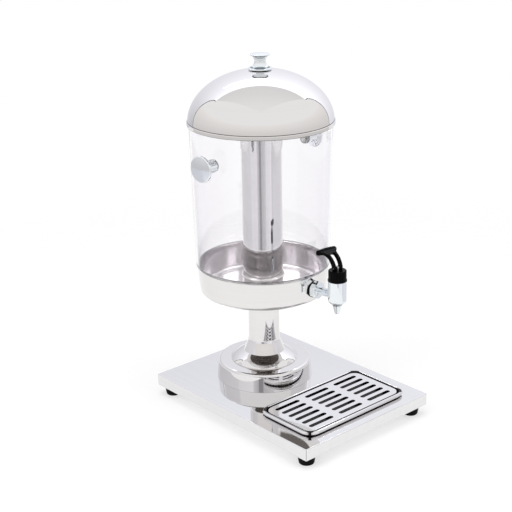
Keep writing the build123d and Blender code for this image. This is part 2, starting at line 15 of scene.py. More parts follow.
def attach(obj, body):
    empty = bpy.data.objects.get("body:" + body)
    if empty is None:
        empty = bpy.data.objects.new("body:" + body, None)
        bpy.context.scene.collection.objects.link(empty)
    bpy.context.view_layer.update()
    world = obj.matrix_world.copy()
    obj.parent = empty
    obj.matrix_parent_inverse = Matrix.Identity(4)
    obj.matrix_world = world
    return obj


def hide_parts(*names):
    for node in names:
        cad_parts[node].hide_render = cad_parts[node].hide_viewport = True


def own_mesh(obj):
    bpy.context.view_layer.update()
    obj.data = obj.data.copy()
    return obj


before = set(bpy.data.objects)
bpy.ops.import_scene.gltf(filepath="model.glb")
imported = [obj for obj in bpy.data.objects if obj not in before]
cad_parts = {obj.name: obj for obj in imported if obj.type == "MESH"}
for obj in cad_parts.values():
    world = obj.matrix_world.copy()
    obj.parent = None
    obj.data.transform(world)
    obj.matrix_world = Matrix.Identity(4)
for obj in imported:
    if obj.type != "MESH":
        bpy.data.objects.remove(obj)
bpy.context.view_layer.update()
scene = bpy.context.scene
MM = 0.001
UP = Vector((0, 0, 1))

# %% [markdown]
# ## Where the stack stands
# Drum, column, pan, tank and lid share one upright axis, set back from the middle of
# the plate. The tank with its knobs and tap is turned a little on the base,
# as it is on the real one, where the tie rod lets it be clamped at any angle. Each
# piece could carry its own place, but an axis that is written once keeps them in line.

# %% Axes and turns
STACK = Vector((0, 57.8, 0)) * MM
FRONT = Vector((0, -1, 0))
TANK_TURN = math.radians(7)
TAP_REACH = 146.0
NIPPLE_LEVEL = 203.0


def about_z(turn):
    """A turn about the upright axis."""
    return Matrix.Rotation(turn, 3, "Z")


tap_out = about_z(TANK_TURN) @ FRONT
tap_axis = STACK + tap_out * TAP_REACH * MM
tap_level = tap_axis + UP * NIPPLE_LEVEL * MM
print("tap axis at", [round(c / MM, 2) for c in tap_axis])

# %% [markdown]
# ## The camera
# A product shot from above the left front corner, with a long lens. The camera could
# be given a matrix, but an azimuth, an elevation and a distance from a point on the
# stack are easier to read and to change. Light may bounce often, because a ray that
# goes through the tank to the pan's mirror floor and out again meets many faces.

# %% Camera
CAMERA_AZIMUTH = math.radians(-41.40)
CAMERA_ELEVATION = math.radians(19.72)
CAMERA_ROLL = math.radians(-1.0)
CAMERA_DISTANCE = 1852.7 * MM
CAMERA_TARGET_LEVEL = 233.3 * MM
CAMERA_SIDE_STEP = -10.87 * MM
FOCAL_PIXELS = 1188.8
IMAGE_PIXELS = 512
GLASS_BOUNCES = 48
MIRROR_BOUNCES = 20

flat_share = math.cos(CAMERA_ELEVATION)
towards_camera = Vector((math.sin(CAMERA_AZIMUTH) * flat_share, -math.cos(CAMERA_AZIMUTH) * flat_share,
                         math.sin(CAMERA_ELEVATION)))
camera_right = UP.cross(towards_camera).normalized()
camera_up = towards_camera.cross(camera_right)
target = STACK + camera_right * CAMERA_SIDE_STEP + UP * CAMERA_TARGET_LEVEL
bpy.ops.object.camera_add(location=target + towards_camera * CAMERA_DISTANCE)
camera = bpy.context.object
rolled_right = camera_right * math.cos(CAMERA_ROLL) + camera_up * math.sin(CAMERA_ROLL)
rolled_up = camera_up * math.cos(CAMERA_ROLL) - camera_right * math.sin(CAMERA_ROLL)
camera.rotation_euler = Matrix((rolled_right, rolled_up, towards_camera)).transposed().to_euler()
camera.data.lens = FOCAL_PIXELS / IMAGE_PIXELS * camera.data.sensor_width
scene.camera = camera
scene.view_settings.view_transform = "Standard"
scene.cycles.max_bounces = GLASS_BOUNCES
scene.cycles.transmission_bounces = GLASS_BOUNCES
scene.cycles.glossy_bounces = MIRROR_BOUNCES
print("camera at", [round(c, 3) for c in camera.location], "lens", round(camera.data.lens, 1))

# %% [markdown]
# ## Selecting and modifiers
# With a mouse, one clicks a piece and then a tool. A script has none, and an operator
# acts on all that is selected, so each tool here first selects its own piece and
# nothing else. A modifier could stay live to the end, but applied at once it leaves a
# plain mesh, from which the next step can pick faces and edges.

# %% Selecting, naming and modifiers
def deselect():
    """Object mode with nothing selected."""
    if bpy.context.mode != "OBJECT":
        bpy.ops.object.mode_set(mode="OBJECT")
    bpy.ops.object.select_all(action="DESELECT")


def choose(*pieces):
    """Object mode with only these pieces selected, the first one active."""
    deselect()
    for piece in pieces:
        piece.select_set(True)
    bpy.context.view_layer.objects.active = pieces[0]


def named(name):
    """Names the piece that was just added."""
    piece = bpy.context.object
    piece.name = name
    piece.data.name = name
    return piece


def apply_modifier(piece, kind, **settings):
    """Adds a modifier with these settings and applies it."""
    choose(piece)
    modifier = piece.modifiers.new(kind.title(), kind)
    for setting, value in settings.items():
        setattr(modifier, setting, value)
    bpy.ops.object.modifier_apply(modifier=modifier.name)
    return piece


deselect()
print("selected after clearing:", len(bpy.context.selected_objects))

# %% [markdown]
# ## Spinning a profile
# Most of this object was spun from sheet or turned on a lathe. Such a piece could start
# as a cylinder that is scaled ring by ring. A profile that is drawn beside the axis and
# spun round it is nearer to the maker's own way, and it puts every corner at its true
# radius and height. A profile point is a radius and a height in millimetres, and a
# third number rounds that corner.

# %% Arcs and rounded corners
CORNER_STEPS = 6


def arc(centre, radius, start, end, steps=12):
    """Points of an arc between two angles in degrees."""
    turns = [math.radians(start + (end - start) * step / steps) for step in range(steps + 1)]
    return [(centre[0] + radius * math.cos(a), centre[1] + radius * math.sin(a)) for a in turns]


def rounded(points):
    """The profile with an arc at each corner that names a radius."""
    line = []
    for index, point in enumerate(points):
        corner = Vector(point[:2])
        if len(point) == 2:
            line.append(corner)
            continue
        back = (Vector(points[index - 1][:2]) - corner).normalized()
        on = (Vector(points[(index + 1) % len(points)][:2]) - corner).normalized()
        half = back.angle(on) / 2
        centre = corner + (back + on).normalized() * point[2] / math.sin(half)
        reach = point[2] / math.tan(half)
        start = corner + back * reach - centre
        end = corner + on * reach - centre
        swing = [start.slerp(end, step / CORNER_STEPS) for step in range(CORNER_STEPS + 1)]
        line += [centre + spoke.normalized() * point[2] for spoke in swing]
    return line


print("a rounded corner takes", CORNER_STEPS + 1, "points")

# %% Drawing a profile and smoothing
SAME_POINT = 1e-7
SMOOTH_ANGLE = math.radians(32)


def draw_profile(name, points, closed):
    """Draws a profile in the XZ plane and stays in edit mode with all of it selected."""
    deselect()
    bpy.ops.mesh.primitive_plane_add(size=MM)
    piece = named(name)
    bpy.ops.object.mode_set(mode="EDIT")
    bpy.ops.mesh.select_mode(type="VERT")
    bpy.ops.mesh.select_all(action="SELECT")
    bpy.ops.mesh.merge(type="CENTER")
    path = [Vector((radius, 0, height)) * MM for radius, height in rounded(points)]
    if closed:
        path.append(path[0])
    bpy.ops.transform.translate(value=path[0])
    for before, after in zip(path, path[1:]):
        bpy.ops.mesh.extrude_vertices_move(TRANSFORM_OT_translate={"value": after - before})
    bpy.ops.mesh.select_all(action="SELECT")
    bpy.ops.mesh.remove_doubles(threshold=SAME_POINT)
    return piece


def face_outwards():
    """Turns every face of the piece in edit mode outwards."""
    bpy.ops.mesh.select_all(action="SELECT")
    bpy.ops.mesh.normals_make_consistent(inside=False)


def smooth(piece, angle=SMOOTH_ANGLE):
    """Smooth shading that keeps real edges sharp, and flat faces flat beside rounded ones."""
    choose(piece)
    bpy.ops.object.shade_smooth_by_angle(angle=angle)
    apply_modifier(piece, "WEIGHTED_NORMAL", keep_sharp=True)


print("points nearer than", SAME_POINT, "m are merged")

# %% Spinning and placing
SPUN_SEAM = 1e-6
PLAIN_SPIN = 160
FINE_SPIN = 192
SMALL_SPIN = 96
ROUGH_SPIN = 48


def turned(name, points, steps=PLAIN_SPIN):
    """A round piece about Z, spun from a profile that is closed or runs from pole to pole."""
    piece = draw_profile(name, points, closed=points[0][0] > 0)
    bpy.ops.mesh.select_all(action="SELECT")
    bpy.ops.mesh.spin(steps=steps, angle=2 * math.pi, center=(0, 0, 0), axis=(0, 0, 1))
    bpy.ops.mesh.select_all(action="SELECT")
    bpy.ops.mesh.remove_doubles(threshold=SPUN_SEAM)
    face_outwards()
    smooth(piece)
    return piece


def put(piece, place, turn=None):
    """Turns and moves a piece, with its place in its mesh."""
    choose(piece)
    piece.rotation_euler = (turn or Matrix.Identity(3)).to_euler()
    piece.location = place
    bpy.ops.object.transform_apply(location=True, rotation=True, scale=True)
    return piece


print("lathe ready, spins of", ROUGH_SPIN, "to", FINE_SPIN, "steps")

# %% [markdown]
# ## Cutting, picking and dressing
# Holes and joints could be modelled face by face. The Boolean modifier is closer to the
# workshop: it drills and welds, and gives the true curve where two shapes meet. Faces
# and edges are picked by where they lie, since nobody can click here. A finished piece
# gets its material and the body it moves with, and may get another finish on some faces.

# %% Combining and picking
def combine(piece, other, operation):
    """Cuts, joins or keeps what both share, and removes the other piece."""
    apply_modifier(piece, "BOOLEAN", object=other, operation=operation, solver="EXACT")
    bpy.data.objects.remove(other)


def with_middles(mesh, kind):
    """The vertices, edges or faces of a mesh, each with its middle."""
    if kind == "VERT":
        return [(vertex, vertex.co) for vertex in mesh.vertices]
    if kind == "EDGE":
        ends = [[mesh.vertices[index].co for index in edge.vertices] for edge in mesh.edges]
        return [(edge, (first + last) / 2) for edge, (first, last) in zip(mesh.edges, ends)]
    return [(face, face.center) for face in mesh.polygons]


def pick(piece, kind, test):
    """Selects what has its middle where the test says, in edit mode, and counts it."""
    choose(piece)
    bpy.ops.object.mode_set(mode="EDIT")
    bpy.ops.mesh.select_mode(type=kind)
    bpy.ops.mesh.select_all(action="DESELECT")
    bpy.ops.object.mode_set(mode="OBJECT")
    picked = 0
    for item, middle in with_middles(piece.data, kind):
        item.select = test(middle)
        picked += item.select
    bpy.ops.object.mode_set(mode="EDIT")
    return picked


print("picking by vertices, edges or faces")


# %% Dressing a piece
def dress(piece, finish, body, slot, *nodes):
    """Gives a piece its finish and its body, and lets it stand for its CAD nodes."""
    piece.data.materials.clear()
    piece.data.materials.append(finish)
    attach(piece, body)
    if nodes:
        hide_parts(*nodes)
    print(piece.name, len(piece.data.polygons), "faces on", body)


def second_finish(piece, finish, test):
    """Another finish on the faces that pass the test."""
    piece.data.materials.append(finish)
    picked = pick(piece, "FACE", test)
    piece.active_material_index = len(piece.data.materials) - 1
    bpy.ops.object.material_slot_assign()
    deselect()
    print(piece.name, picked, "faces in", finish.name)


def from_stack(place):
    """Radius from the stack's axis, in millimetres."""
    return (place - STACK).xy.length / MM


# %% [markdown]
# ## Shared effects for the finishes
# Real metal is never one even grey: it has the lines of the polishing wheel, faint
# clouds where the wheel pressed harder, and a few fine scratches from handling. They
# could be painted into each material by itself. As node groups they are built once, and
# every finish uses them with its own values.

# %% Node helpers
def node(tree, kind, **values):
    """A shader node with its sockets set by name."""
    made = tree.nodes.new("ShaderNode" + kind)
    for name, value in values.items():
        made.inputs[name.replace("_", " ")].default_value = value
    return made


def math_node(tree, operation, second=None):
    """A math node, with its second value set where it isn't linked."""
    made = node(tree, "Math")
    made.operation = operation
    if second is not None:
        made.inputs[1].default_value = second
    return made


def wire(tree, source, output, sink, socket):
    """Links an output to an input, both by name or number."""
    tree.links.new(source.outputs[output], sink.inputs[socket])


def new_group(name, inputs, outputs):
    """An empty node group with its sockets, and its two end nodes."""
    group = bpy.data.node_groups.new(name, "ShaderNodeTree")
    for label, kind in inputs:
        group.interface.new_socket(label, in_out="INPUT", socket_type="NodeSocket" + kind)
    for label, kind in outputs:
        group.interface.new_socket(label, in_out="OUTPUT", socket_type="NodeSocket" + kind)
    return group, group.nodes.new("NodeGroupInput"), group.nodes.new("NodeGroupOutput")


print("groups so far:", len(bpy.data.node_groups))

# %% Polishing lines and clouds
CLOUD_SHARE = 0.04
polish, polish_in, polish_out = new_group(
    "polishing_lines", [("Vector", "Vector"), ("Fineness", "Float")],
    [("Lines", "Float"), ("Clouds", "Float")])
fine = node(polish, "TexNoise", Detail=3.0, Roughness=0.6)
wire(polish, polish_in, "Vector", fine, "Vector")
wire(polish, polish_in, "Fineness", fine, "Scale")
wire(polish, fine, 0, polish_out, "Lines")
cloud_scale = math_node(polish, "MULTIPLY", CLOUD_SHARE)
wire(polish, polish_in, "Fineness", cloud_scale, 0)
clouds = node(polish, "TexNoise", Detail=2.0)
wire(polish, polish_in, "Vector", clouds, "Vector")
wire(polish, cloud_scale, 0, clouds, "Scale")
wire(polish, clouds, 0, polish_out, "Clouds")
print(polish.name, "has", len(polish.nodes), "nodes")

# %% Scratches and smudges
SCRATCH_SLANT = (0.5, 0.9, 0.6)
SCRATCH_STRETCH = (1.0, 28.0, 1.0)
marks, marks_in, marks_out = new_group(
    "handling_marks", [("Vector", "Vector"), ("Scale", "Float")],
    [("Scratches", "Float"), ("Smudges", "Float")])
slant = node(marks, "Mapping", Rotation=SCRATCH_SLANT, Scale=SCRATCH_STRETCH)
wire(marks, marks_in, "Vector", slant, "Vector")
hairs = node(marks, "TexNoise", Detail=2.0, Roughness=0.5)
wire(marks, slant, 0, hairs, "Vector")
wire(marks, marks_in, "Scale", hairs, "Scale")
thin = node(marks, "MapRange", From_Min=0.66, From_Max=0.74)
wire(marks, hairs, 0, thin, "Value")
wire(marks, thin, 0, marks_out, "Scratches")
smear = node(marks, "TexNoise", Detail=4.0, Roughness=0.55, Distortion=0.6)
wire(marks, marks_in, "Vector", smear, "Vector")
wire(marks, marks_in, "Scale", smear, "Scale")
soft = node(marks, "MapRange", From_Min=0.45, From_Max=0.75)
wire(marks, smear, 0, soft, "Value")
wire(marks, soft, 0, marks_out, "Smudges")
print(marks.name, "has", len(marks.nodes), "nodes")

# %% [markdown]
# ## A recipe for metal
# One recipe serves every metal here: clouds blend two tones, smudges and scratches
# change the roughness, and the polishing lines are a very shallow bump. Each metal could
# be wired by hand, but with one recipe they age alike. Stretching the coordinates gives
# the lines their direction: round a spun piece they lie level, and along the plate they
# run from front to back.

# %% Starting a finish
def start_finish(name):
    """A new material with its tree, its shader and its object coordinates."""
    finish = bpy.data.materials.new(name)
    finish.use_nodes = True
    tree = finish.node_tree
    place = node(tree, "TexCoord")
    return finish, tree, tree.nodes["Principled BSDF"], place


def use_group(tree, group, place, scale_socket, scale, stretch=(1, 1, 1)):
    """Places a shared effect in a material, with its coordinates stretched."""
    mapping = node(tree, "Mapping", Scale=stretch)
    wire(tree, place, "Object", mapping, "Vector")
    made = tree.nodes.new("ShaderNodeGroup")
    made.node_tree = group
    made.inputs[scale_socket].default_value = scale
    wire(tree, mapping, 0, made, "Vector")
    return made


print("shared effects:", [group.name for group in (polish, marks)])


# %% Tones, roughness and relief
def colour_mix(tree, first, second):
    """A node that mixes two colours."""
    mix = node(tree, "Mix")
    mix.data_type = "RGBA"
    mix.inputs["A"].default_value = (*first, 1)
    mix.inputs["B"].default_value = (*second, 1)
    return mix


def blend_tones(tree, factor, output, tones, shader):
    """Two tones mixed by a mask into the base colour."""
    mix = colour_mix(tree, *tones)
    wire(tree, factor, output, mix, "Factor")
    wire(tree, mix, "Result", shader, "Base Color")


def vary_roughness(tree, effect, low, high, shader):
    """Roughness between two values, from the smudges and scratches."""
    both = math_node(tree, "MAXIMUM")
    wire(tree, effect, "Scratches", both, 0)
    wire(tree, effect, "Smudges", both, 1)
    span = node(tree, "MapRange", To_Min=low, To_Max=high)
    wire(tree, both, 0, span, "Value")
    wire(tree, span, 0, shader, "Roughness")


def shallow_bump(tree, effect, output, strength, depth, shader):
    """A shallow relief on the surface."""
    bump = node(tree, "Bump", Strength=strength, Distance=depth)
    wire(tree, effect, output, bump, "Height")
    wire(tree, bump, 0, shader, "Normal")


print("materials so far:", len(bpy.data.materials))

# %% Metal recipe
LINE_FINENESS = 40.0
METAL_MARK_SCALE = 14.0
METAL_RELIEF = 0.02 * MM


def metal(name, tones, roughness, stretch, relief):
    """A metal with polishing lines, clouds and handling marks."""
    finish, tree, shader, place = start_finish(name)
    shader.inputs["Metallic"].default_value = 1.0
    lines = use_group(tree, polish, place, "Fineness", LINE_FINENESS, stretch)
    worn = use_group(tree, marks, place, "Scale", METAL_MARK_SCALE)
    blend_tones(tree, lines, "Clouds", tones, shader)
    vary_roughness(tree, worn, *roughness, shader)
    shallow_bump(tree, lines, "Lines", relief, METAL_RELIEF, shader)
    return finish


print("metal recipe with lines of fineness", LINE_FINENESS)

# %% [markdown]
# ## Steel, chrome and zinc
# The sheet steel is polished to a mirror where the wheel reaches, and satin inside the
# pan. The dark steels are painted shade: under the pan, in the dome's crease, below its
# hem and inside the tray, and a painted dark reflection down the plate's corners. Chrome
# is a cooler mirror with painted shade in tight fillets, brushed on the knobs' faces, and
# the screws are zinc plated. One steel for all would be quicker, but the painted darks draw where a mirror
# ends.

# %% Metals
ROUND_LINES = (0.3, 0.3, 60.0)
LONG_LINES = (60.0, 0.6, 60.0)
NO_LINES = (1, 1, 1)
ZINC_GRAIN = (2, 2, 20)
polished_steel = metal("polished_steel", ((0.74, 0.725, 0.72), (0.80, 0.79, 0.785)),
                       (0.035, 0.085), ROUND_LINES, 0.06)
mirror_plate = metal("mirror_plate", ((0.76, 0.752, 0.755), (0.81, 0.803, 0.806)),
                     (0.02, 0.06), LONG_LINES, 0.05)
satin_steel = metal("satin_steel", ((0.69, 0.67, 0.665), (0.75, 0.735, 0.73)),
                    (0.13, 0.20), ROUND_LINES, 0.15)
# Painted shade: a near black steel for the pan's underside, where shade falls under the pan.
pan_underside_shade = metal("pan_underside_shade", ((0.10, 0.089, 0.080), (0.14, 0.125, 0.112)),
                   (0.14, 0.24), ROUND_LINES, 0.15)
# Painted shade: a darker steel for the crease between the dome and its hem.
crease_shade_steel = metal("crease_shade_steel", ((0.20, 0.19, 0.187), (0.27, 0.26, 0.255)),
                   (0.14, 0.24), ROUND_LINES, 0.15)
# Painted shade: near black steel below the dome's hem and inside the tray, and a painted dark reflection down
# the plate's corners.
painted_shade_steel = metal("painted_shade_steel", ((0.020, 0.019, 0.018), (0.032, 0.030, 0.028)),
                        (0.30, 0.45), ROUND_LINES, 0.2)
chrome = metal("chrome", ((0.78, 0.82, 0.85), (0.85, 0.88, 0.90)),
               (0.02, 0.05), NO_LINES, 0.03)
# Painted shade: a dark chrome for tight fillets on the lid knob and at the nozzle's root.
corner_shade_chrome = metal("corner_shade_chrome", ((0.16, 0.20, 0.22), (0.22, 0.26, 0.28)),
                    (0.10, 0.18), NO_LINES, 0.05)
brushed_chrome = metal("brushed_chrome", ((0.66, 0.69, 0.73), (0.73, 0.75, 0.79)),
                       (0.20, 0.28), NO_LINES, 0.1)
zinc_plate = metal("zinc_plate", ((0.56, 0.56, 0.55), (0.66, 0.66, 0.65)),
                   (0.22, 0.38), ZINC_GRAIN, 0.2)
print("materials so far:", len(bpy.data.materials))

# %% [markdown]
# ## Plastics and rubber
# The lever and bonnet are moulded in black with a slight grain, the feet are dull
# rubber, and the seals are pale silicone. Black could simply be a dark colour, but then
# its gloss would turn it grey in a white room, so its shine is also turned down.

# %% Plastics
PLASTIC_MARK_SCALE = 30.0
PLASTIC_RELIEF = 0.05 * MM
PLAIN_SHINE = 0.5


def plastic(name, tones, roughness, grain, relief, shine=PLAIN_SHINE):
    """A moulded material with clouds, handling marks and a fine grain."""
    finish, tree, shader, place = start_finish(name)
    shader.inputs["Specular IOR Level"].default_value = shine
    lines = use_group(tree, polish, place, "Fineness", grain)
    worn = use_group(tree, marks, place, "Scale", PLASTIC_MARK_SCALE)
    blend_tones(tree, lines, "Clouds", tones, shader)
    vary_roughness(tree, worn, *roughness, shader)
    shallow_bump(tree, lines, "Lines", relief, PLASTIC_RELIEF, shader)
    return finish


black_plastic = plastic("black_plastic", ((0.002, 0.002, 0.0025), (0.004, 0.004, 0.0045)),
                        (0.10, 0.20), 900.0, 0.08, shine=0.05)
black_rubber = plastic("black_rubber", ((0.003, 0.003, 0.0035), (0.005, 0.005, 0.0055)),
                       (0.50, 0.70), 700.0, 0.5, shine=0.06)
silicone = plastic("silicone", ((0.74, 0.74, 0.72), (0.82, 0.82, 0.80)),
                   (0.35, 0.50), 500.0, 0.2)
print("plastics:", [finish.name for finish in (black_plastic, black_rubber, silicone)])

# %% [markdown]
# ## Clear polycarbonate
# The tank is clear: full transmission, a real index of refraction and a very small tint.
# Seen along its wall, real plastic is deeper in colour, because the light goes through
# more of it. Absorption in the volume would give that, at the cost of noise. A Layer
# Weight node that deepens the tint where the wall turns away looks the same here.

# %% Clear plastic
CLEAR_TONES = ((0.980, 0.975, 0.985), (0.988, 0.983, 0.993))
DEEP_TONE = (0.91, 0.885, 0.93)
CLEAR_INDEX = 1.49
clear_plastic = plastic("clear_polycarbonate", CLEAR_TONES, (0.0, 0.02), 20.0, 0.01)
clear_tree = clear_plastic.node_tree
clear_shader = clear_tree.nodes["Principled BSDF"]
clear_shader.inputs["Transmission Weight"].default_value = 1.0
clear_shader.inputs["IOR"].default_value = CLEAR_INDEX
tones = clear_shader.inputs["Base Color"].links[0].from_socket
turned_away = node(clear_tree, "LayerWeight", Blend=0.15)
deepened = colour_mix(clear_tree, CLEAR_TONES[0], DEEP_TONE)
clear_tree.links.new(tones, deepened.inputs["A"])
wire(clear_tree, turned_away, "Facing", deepened, "Factor")
wire(clear_tree, deepened, "Result", clear_shader, "Base Color")
print(clear_plastic.name, "with index", CLEAR_INDEX)

# %% [markdown]
# ## The base plate
# A sheet steel box, open below, with a lip turned in all round for the feet. A cube with
# a bevel would look right from above only. This one is made as it is folded from sheet:
# the top is a sheet with rounded corners, its edge is pulled down into walls and turned
# in to the lip, the bends are rounded, and the sheet gets its thickness inwards. The
# lip goes in by a narrow step first, because a wide inset would cross the small corner
# arcs. The upright corners between the bends are painted near black, a painted dark reflection.

# %% Rounded sheets
CORNER_SEGMENTS = 14
BEND_SEGMENTS = 4
TOUCH = 0.01


def rounded_sheet(name, width, depth, corner, level):
    """A flat rounded rectangle at a height, left in edit mode with all selected."""
    deselect()
    bpy.ops.mesh.primitive_plane_add(size=1, location=(0, 0, level * MM))
    piece = named(name)
    piece.scale = (width * MM, depth * MM, 1)
    bpy.ops.object.transform_apply(location=True, rotation=True, scale=True)
    bpy.ops.object.mode_set(mode="EDIT")
    bpy.ops.mesh.select_mode(type="VERT")
    bpy.ops.mesh.select_all(action="SELECT")
    bpy.ops.mesh.bevel(offset=corner * MM, segments=CORNER_SEGMENTS, affect="VERTICES")
    bpy.ops.mesh.select_all(action="SELECT")
    return piece


def pull(*way):
    """Extrudes what is selected along a way in millimetres."""
    bpy.ops.mesh.extrude_region_move(TRANSFORM_OT_translate={"value": Vector(way) * MM})


def at_level(place, level):
    """True for a point at a height in millimetres."""
    return abs(place.z / MM - level) < TOUCH


print("sheet corners of", CORNER_SEGMENTS, "segments, bends of", BEND_SEGMENTS)

# %% Sizes and edges of the plate
PLATE_WIDTH = 260
PLATE_DEPTH = 346
PLATE_UNDER = 15
PLATE_TOP = 34
PLATE_CORNER = 2.5
PLATE_LIP = 36
PLATE_BEND = 1.4
PLATE_SHEET = 1.2
EDGE_BAND = 1.0
SEAM_END = 1.5


def near_side(place):
    """True close to the plate's left or right side."""
    return abs(place.x) > (PLATE_WIDTH / 2 - EDGE_BAND) * MM


def near_end(place):
    """True close to the plate's front or back."""
    return abs(place.y) > (PLATE_DEPTH / 2 - EDGE_BAND) * MM


def on_bend(place):
    """True on the edges where the plate's sheet is folded."""
    below = at_level(place, PLATE_UNDER) and (near_side(place) or near_end(place))
    return at_level(place, PLATE_TOP) or below


def on_seam(place):
    """True on the welded corners between the bends."""
    between = PLATE_UNDER + SEAM_END < place.z / MM < PLATE_TOP - SEAM_END
    return between and near_side(place) and near_end(place)


print("welded seams from", PLATE_UNDER + SEAM_END, "to", PLATE_TOP - SEAM_END, "mm")

# %% Base plate
LIP_STEP = 2
plate_box = rounded_sheet("plate_box", PLATE_WIDTH, PLATE_DEPTH, PLATE_CORNER, PLATE_TOP)
pull(0, 0, PLATE_UNDER - PLATE_TOP)
bpy.ops.mesh.inset(thickness=LIP_STEP * MM)
pull(0, 0, 0)
bpy.ops.transform.resize(value=((PLATE_WIDTH / 2 - PLATE_LIP) / (PLATE_WIDTH / 2 - LIP_STEP),
                                (PLATE_DEPTH / 2 - PLATE_LIP) / (PLATE_DEPTH / 2 - LIP_STEP), 1))
bpy.ops.mesh.delete(type="FACE")
pick(plate_box, "EDGE", on_bend)
bpy.ops.mesh.bevel(offset=PLATE_BEND * MM, segments=BEND_SEGMENTS, affect="EDGES")
face_outwards()
apply_modifier(plate_box, "SOLIDIFY", thickness=PLATE_SHEET * MM, offset=-1.0)
smooth(plate_box)
dress(plate_box, mirror_plate, "base", "polished_steel", "base_plate")
# The plate's upright corners are painted near black, a painted dark reflection.
second_finish(plate_box, painted_shade_steel, on_seam)

# %% [markdown]
# ## The rubber feet
# Four moulded feet under the lip, a little narrower at the floor, each with a recess
# for its screw. A cylinder with a taper would leave out the rounded lower edge, which
# catches the light, so one foot is spun from its profile and the others are copies.

# %% Feet
FOOT_INSET = 18
FOOT_BORE = 2.8
FOOT_RECESS_RADIUS = 5.0
FOOT_RECESS_DEPTH = 6
FOOT_FLOOR_RADIUS = 11.2
FOOT_TOP_RADIUS = 13.6


def copied(piece, name):
    """A copy with its own mesh."""
    twin = piece.copy()
    twin.data = piece.data.copy()
    twin.name = name
    scene.collection.objects.link(twin)
    return twin


foot = turned("foot_0", [
    (FOOT_BORE, FOOT_RECESS_DEPTH), (FOOT_RECESS_RADIUS, FOOT_RECESS_DEPTH), (FOOT_RECESS_RADIUS, 0, 0.8),
    (FOOT_FLOOR_RADIUS, 0, 2.4), (FOOT_TOP_RADIUS, PLATE_UNDER), (FOOT_BORE, PLATE_UNDER)],
    steps=ROUGH_SPIN)
across = PLATE_WIDTH / 2 - FOOT_INSET
deep = PLATE_DEPTH / 2 - FOOT_INSET
foot_places = [Vector((x, y, 0)) * MM for x in (across, -across) for y in (deep, -deep)]
feet = [foot] + [copied(foot, f"foot_{number}") for number in (1, 2, 3)]
for number, (piece, place) in enumerate(zip(feet, foot_places)):
    put(piece, place)
    nodes = ["feet"] if number == 0 else []
    dress(piece, black_rubber, "base", "black_rubber", *nodes)

# %% [markdown]
# ## The drum
# A shallow cap with a soft shoulder, spun from sheet, that carries the column. A solid
# block would look the same from outside, but the real one is hollow, so the profile
# follows both faces of the sheet, and the tie rod has its hole.

# %% Drum
TIE_BORE = 5.3
SHEET = 1.0
THIN_SHEET = 0.8
DRUM_TOP = 63
DRUM_TOP_RADIUS = 73.1
DRUM_FOOT_RADIUS = 75.9
DRUM_SHOULDER = 5.0
drum = turned("drum_spun", [
    (TIE_BORE, DRUM_TOP), (DRUM_TOP_RADIUS, DRUM_TOP, DRUM_SHOULDER), (DRUM_FOOT_RADIUS, PLATE_TOP, 0.4),
    (DRUM_FOOT_RADIUS - SHEET, PLATE_TOP),
    (DRUM_TOP_RADIUS - SHEET, DRUM_TOP - SHEET, DRUM_SHOULDER - SHEET), (TIE_BORE, DRUM_TOP - SHEET)],
    steps=FINE_SPIN)
put(drum, STACK)
dress(drum, polished_steel, "base", "polished_steel", "pedestal_drum")

# %% [markdown]
# ## The column
# The column opens below into a short cone, which stands on a slightly domed collar. One
# sweeping curve would be simpler, but the crease between cone and collar and the
# collar's edge are the lines that the mirror finish shows, so each is its own stretch.

# %% Column
COLUMN_TOP = 180.5
COLUMN_RADIUS = 24.5
CONE_HEAD = 96.5
CONE_FOOT = (32.6, 77.2)
COLLAR_EDGE = (52.9, 64.0)
COLLAR_SWELL = 11
COLLAR_LIP = 1.2


def bulge(start, end, swell, steps=14):
    """Arc between two points that swells outwards by an angle at each end."""
    a, b = Vector(start), Vector(end)
    middle = math.degrees(math.atan2(b.x - a.x, a.y - b.y))
    radius = (b - a).length / (2 * math.sin(math.radians(swell)))
    lean = math.radians(middle + swell)
    centre = a - Vector((math.cos(lean), math.sin(lean))) * radius
    return arc(centre, radius, middle + swell, middle - swell, steps)


column = turned("column_spun", [
    (TIE_BORE, COLUMN_TOP), (COLUMN_RADIUS, COLUMN_TOP, 2.5), (COLUMN_RADIUS, CONE_HEAD, 14),
    *bulge(CONE_FOOT, COLLAR_EDGE, COLLAR_SWELL),
    (COLLAR_EDGE[0], DRUM_TOP), (COLLAR_EDGE[0] - COLLAR_LIP, DRUM_TOP),
    (CONE_FOOT[0] - SHEET, CONE_FOOT[1] - SHEET), (COLUMN_RADIUS - SHEET, CONE_HEAD, 12),
    (COLUMN_RADIUS - SHEET, COLUMN_TOP - SHEET, 1.5), (TIE_BORE, COLUMN_TOP - SHEET)])
put(column, STACK)
dress(column, polished_steel, "base", "polished_steel", "pedestal_column")

# %% [markdown]
# ## The pan
# A drawn pan with a raised floor that sits on the column, walls that open slightly
# upwards, and a rim that is hemmed into a thin bead. The tap's shank goes through a hole
# in its front. A missing face could pass for that hole, but a Boolean gives it an edge
# as thick as the sheet. The wheel doesn't get into the corner below the tank, so the
# inner wall is satin. The underside is painted near black, as painted shade under the pan.

# %% Drilling
DRILL_SIDES = 48


def drill(piece, radius, start, end):
    """Drills a round hole between two points."""
    deselect()
    along = end - start
    bpy.ops.mesh.primitive_cylinder_add(vertices=DRILL_SIDES, radius=radius * MM, depth=along.length,
                                        location=(start + end) / 2,
                                        rotation=along.to_track_quat("Z", "Y").to_euler())
    combine(piece, named("drill"), "DIFFERENCE")
    smooth(piece)


print("drill with", DRILL_SIDES, "sides")

# %% Pan
PAN_UNDER = 179
PAN_STEP_HEAD = 74
PAN_STEP_FOOT = 75.5
PAN_STEP_ROUND = 0.7
PAN_FOOT_RADIUS = 98.86
PAN_INNER_RADIUS = 97.95
PAN_FOOT_ROUND = 9.0
PAN_RIM_RADIUS = 102.3
PAN_RIM_LEVEL = 224
PAN_BEAD = 0.9
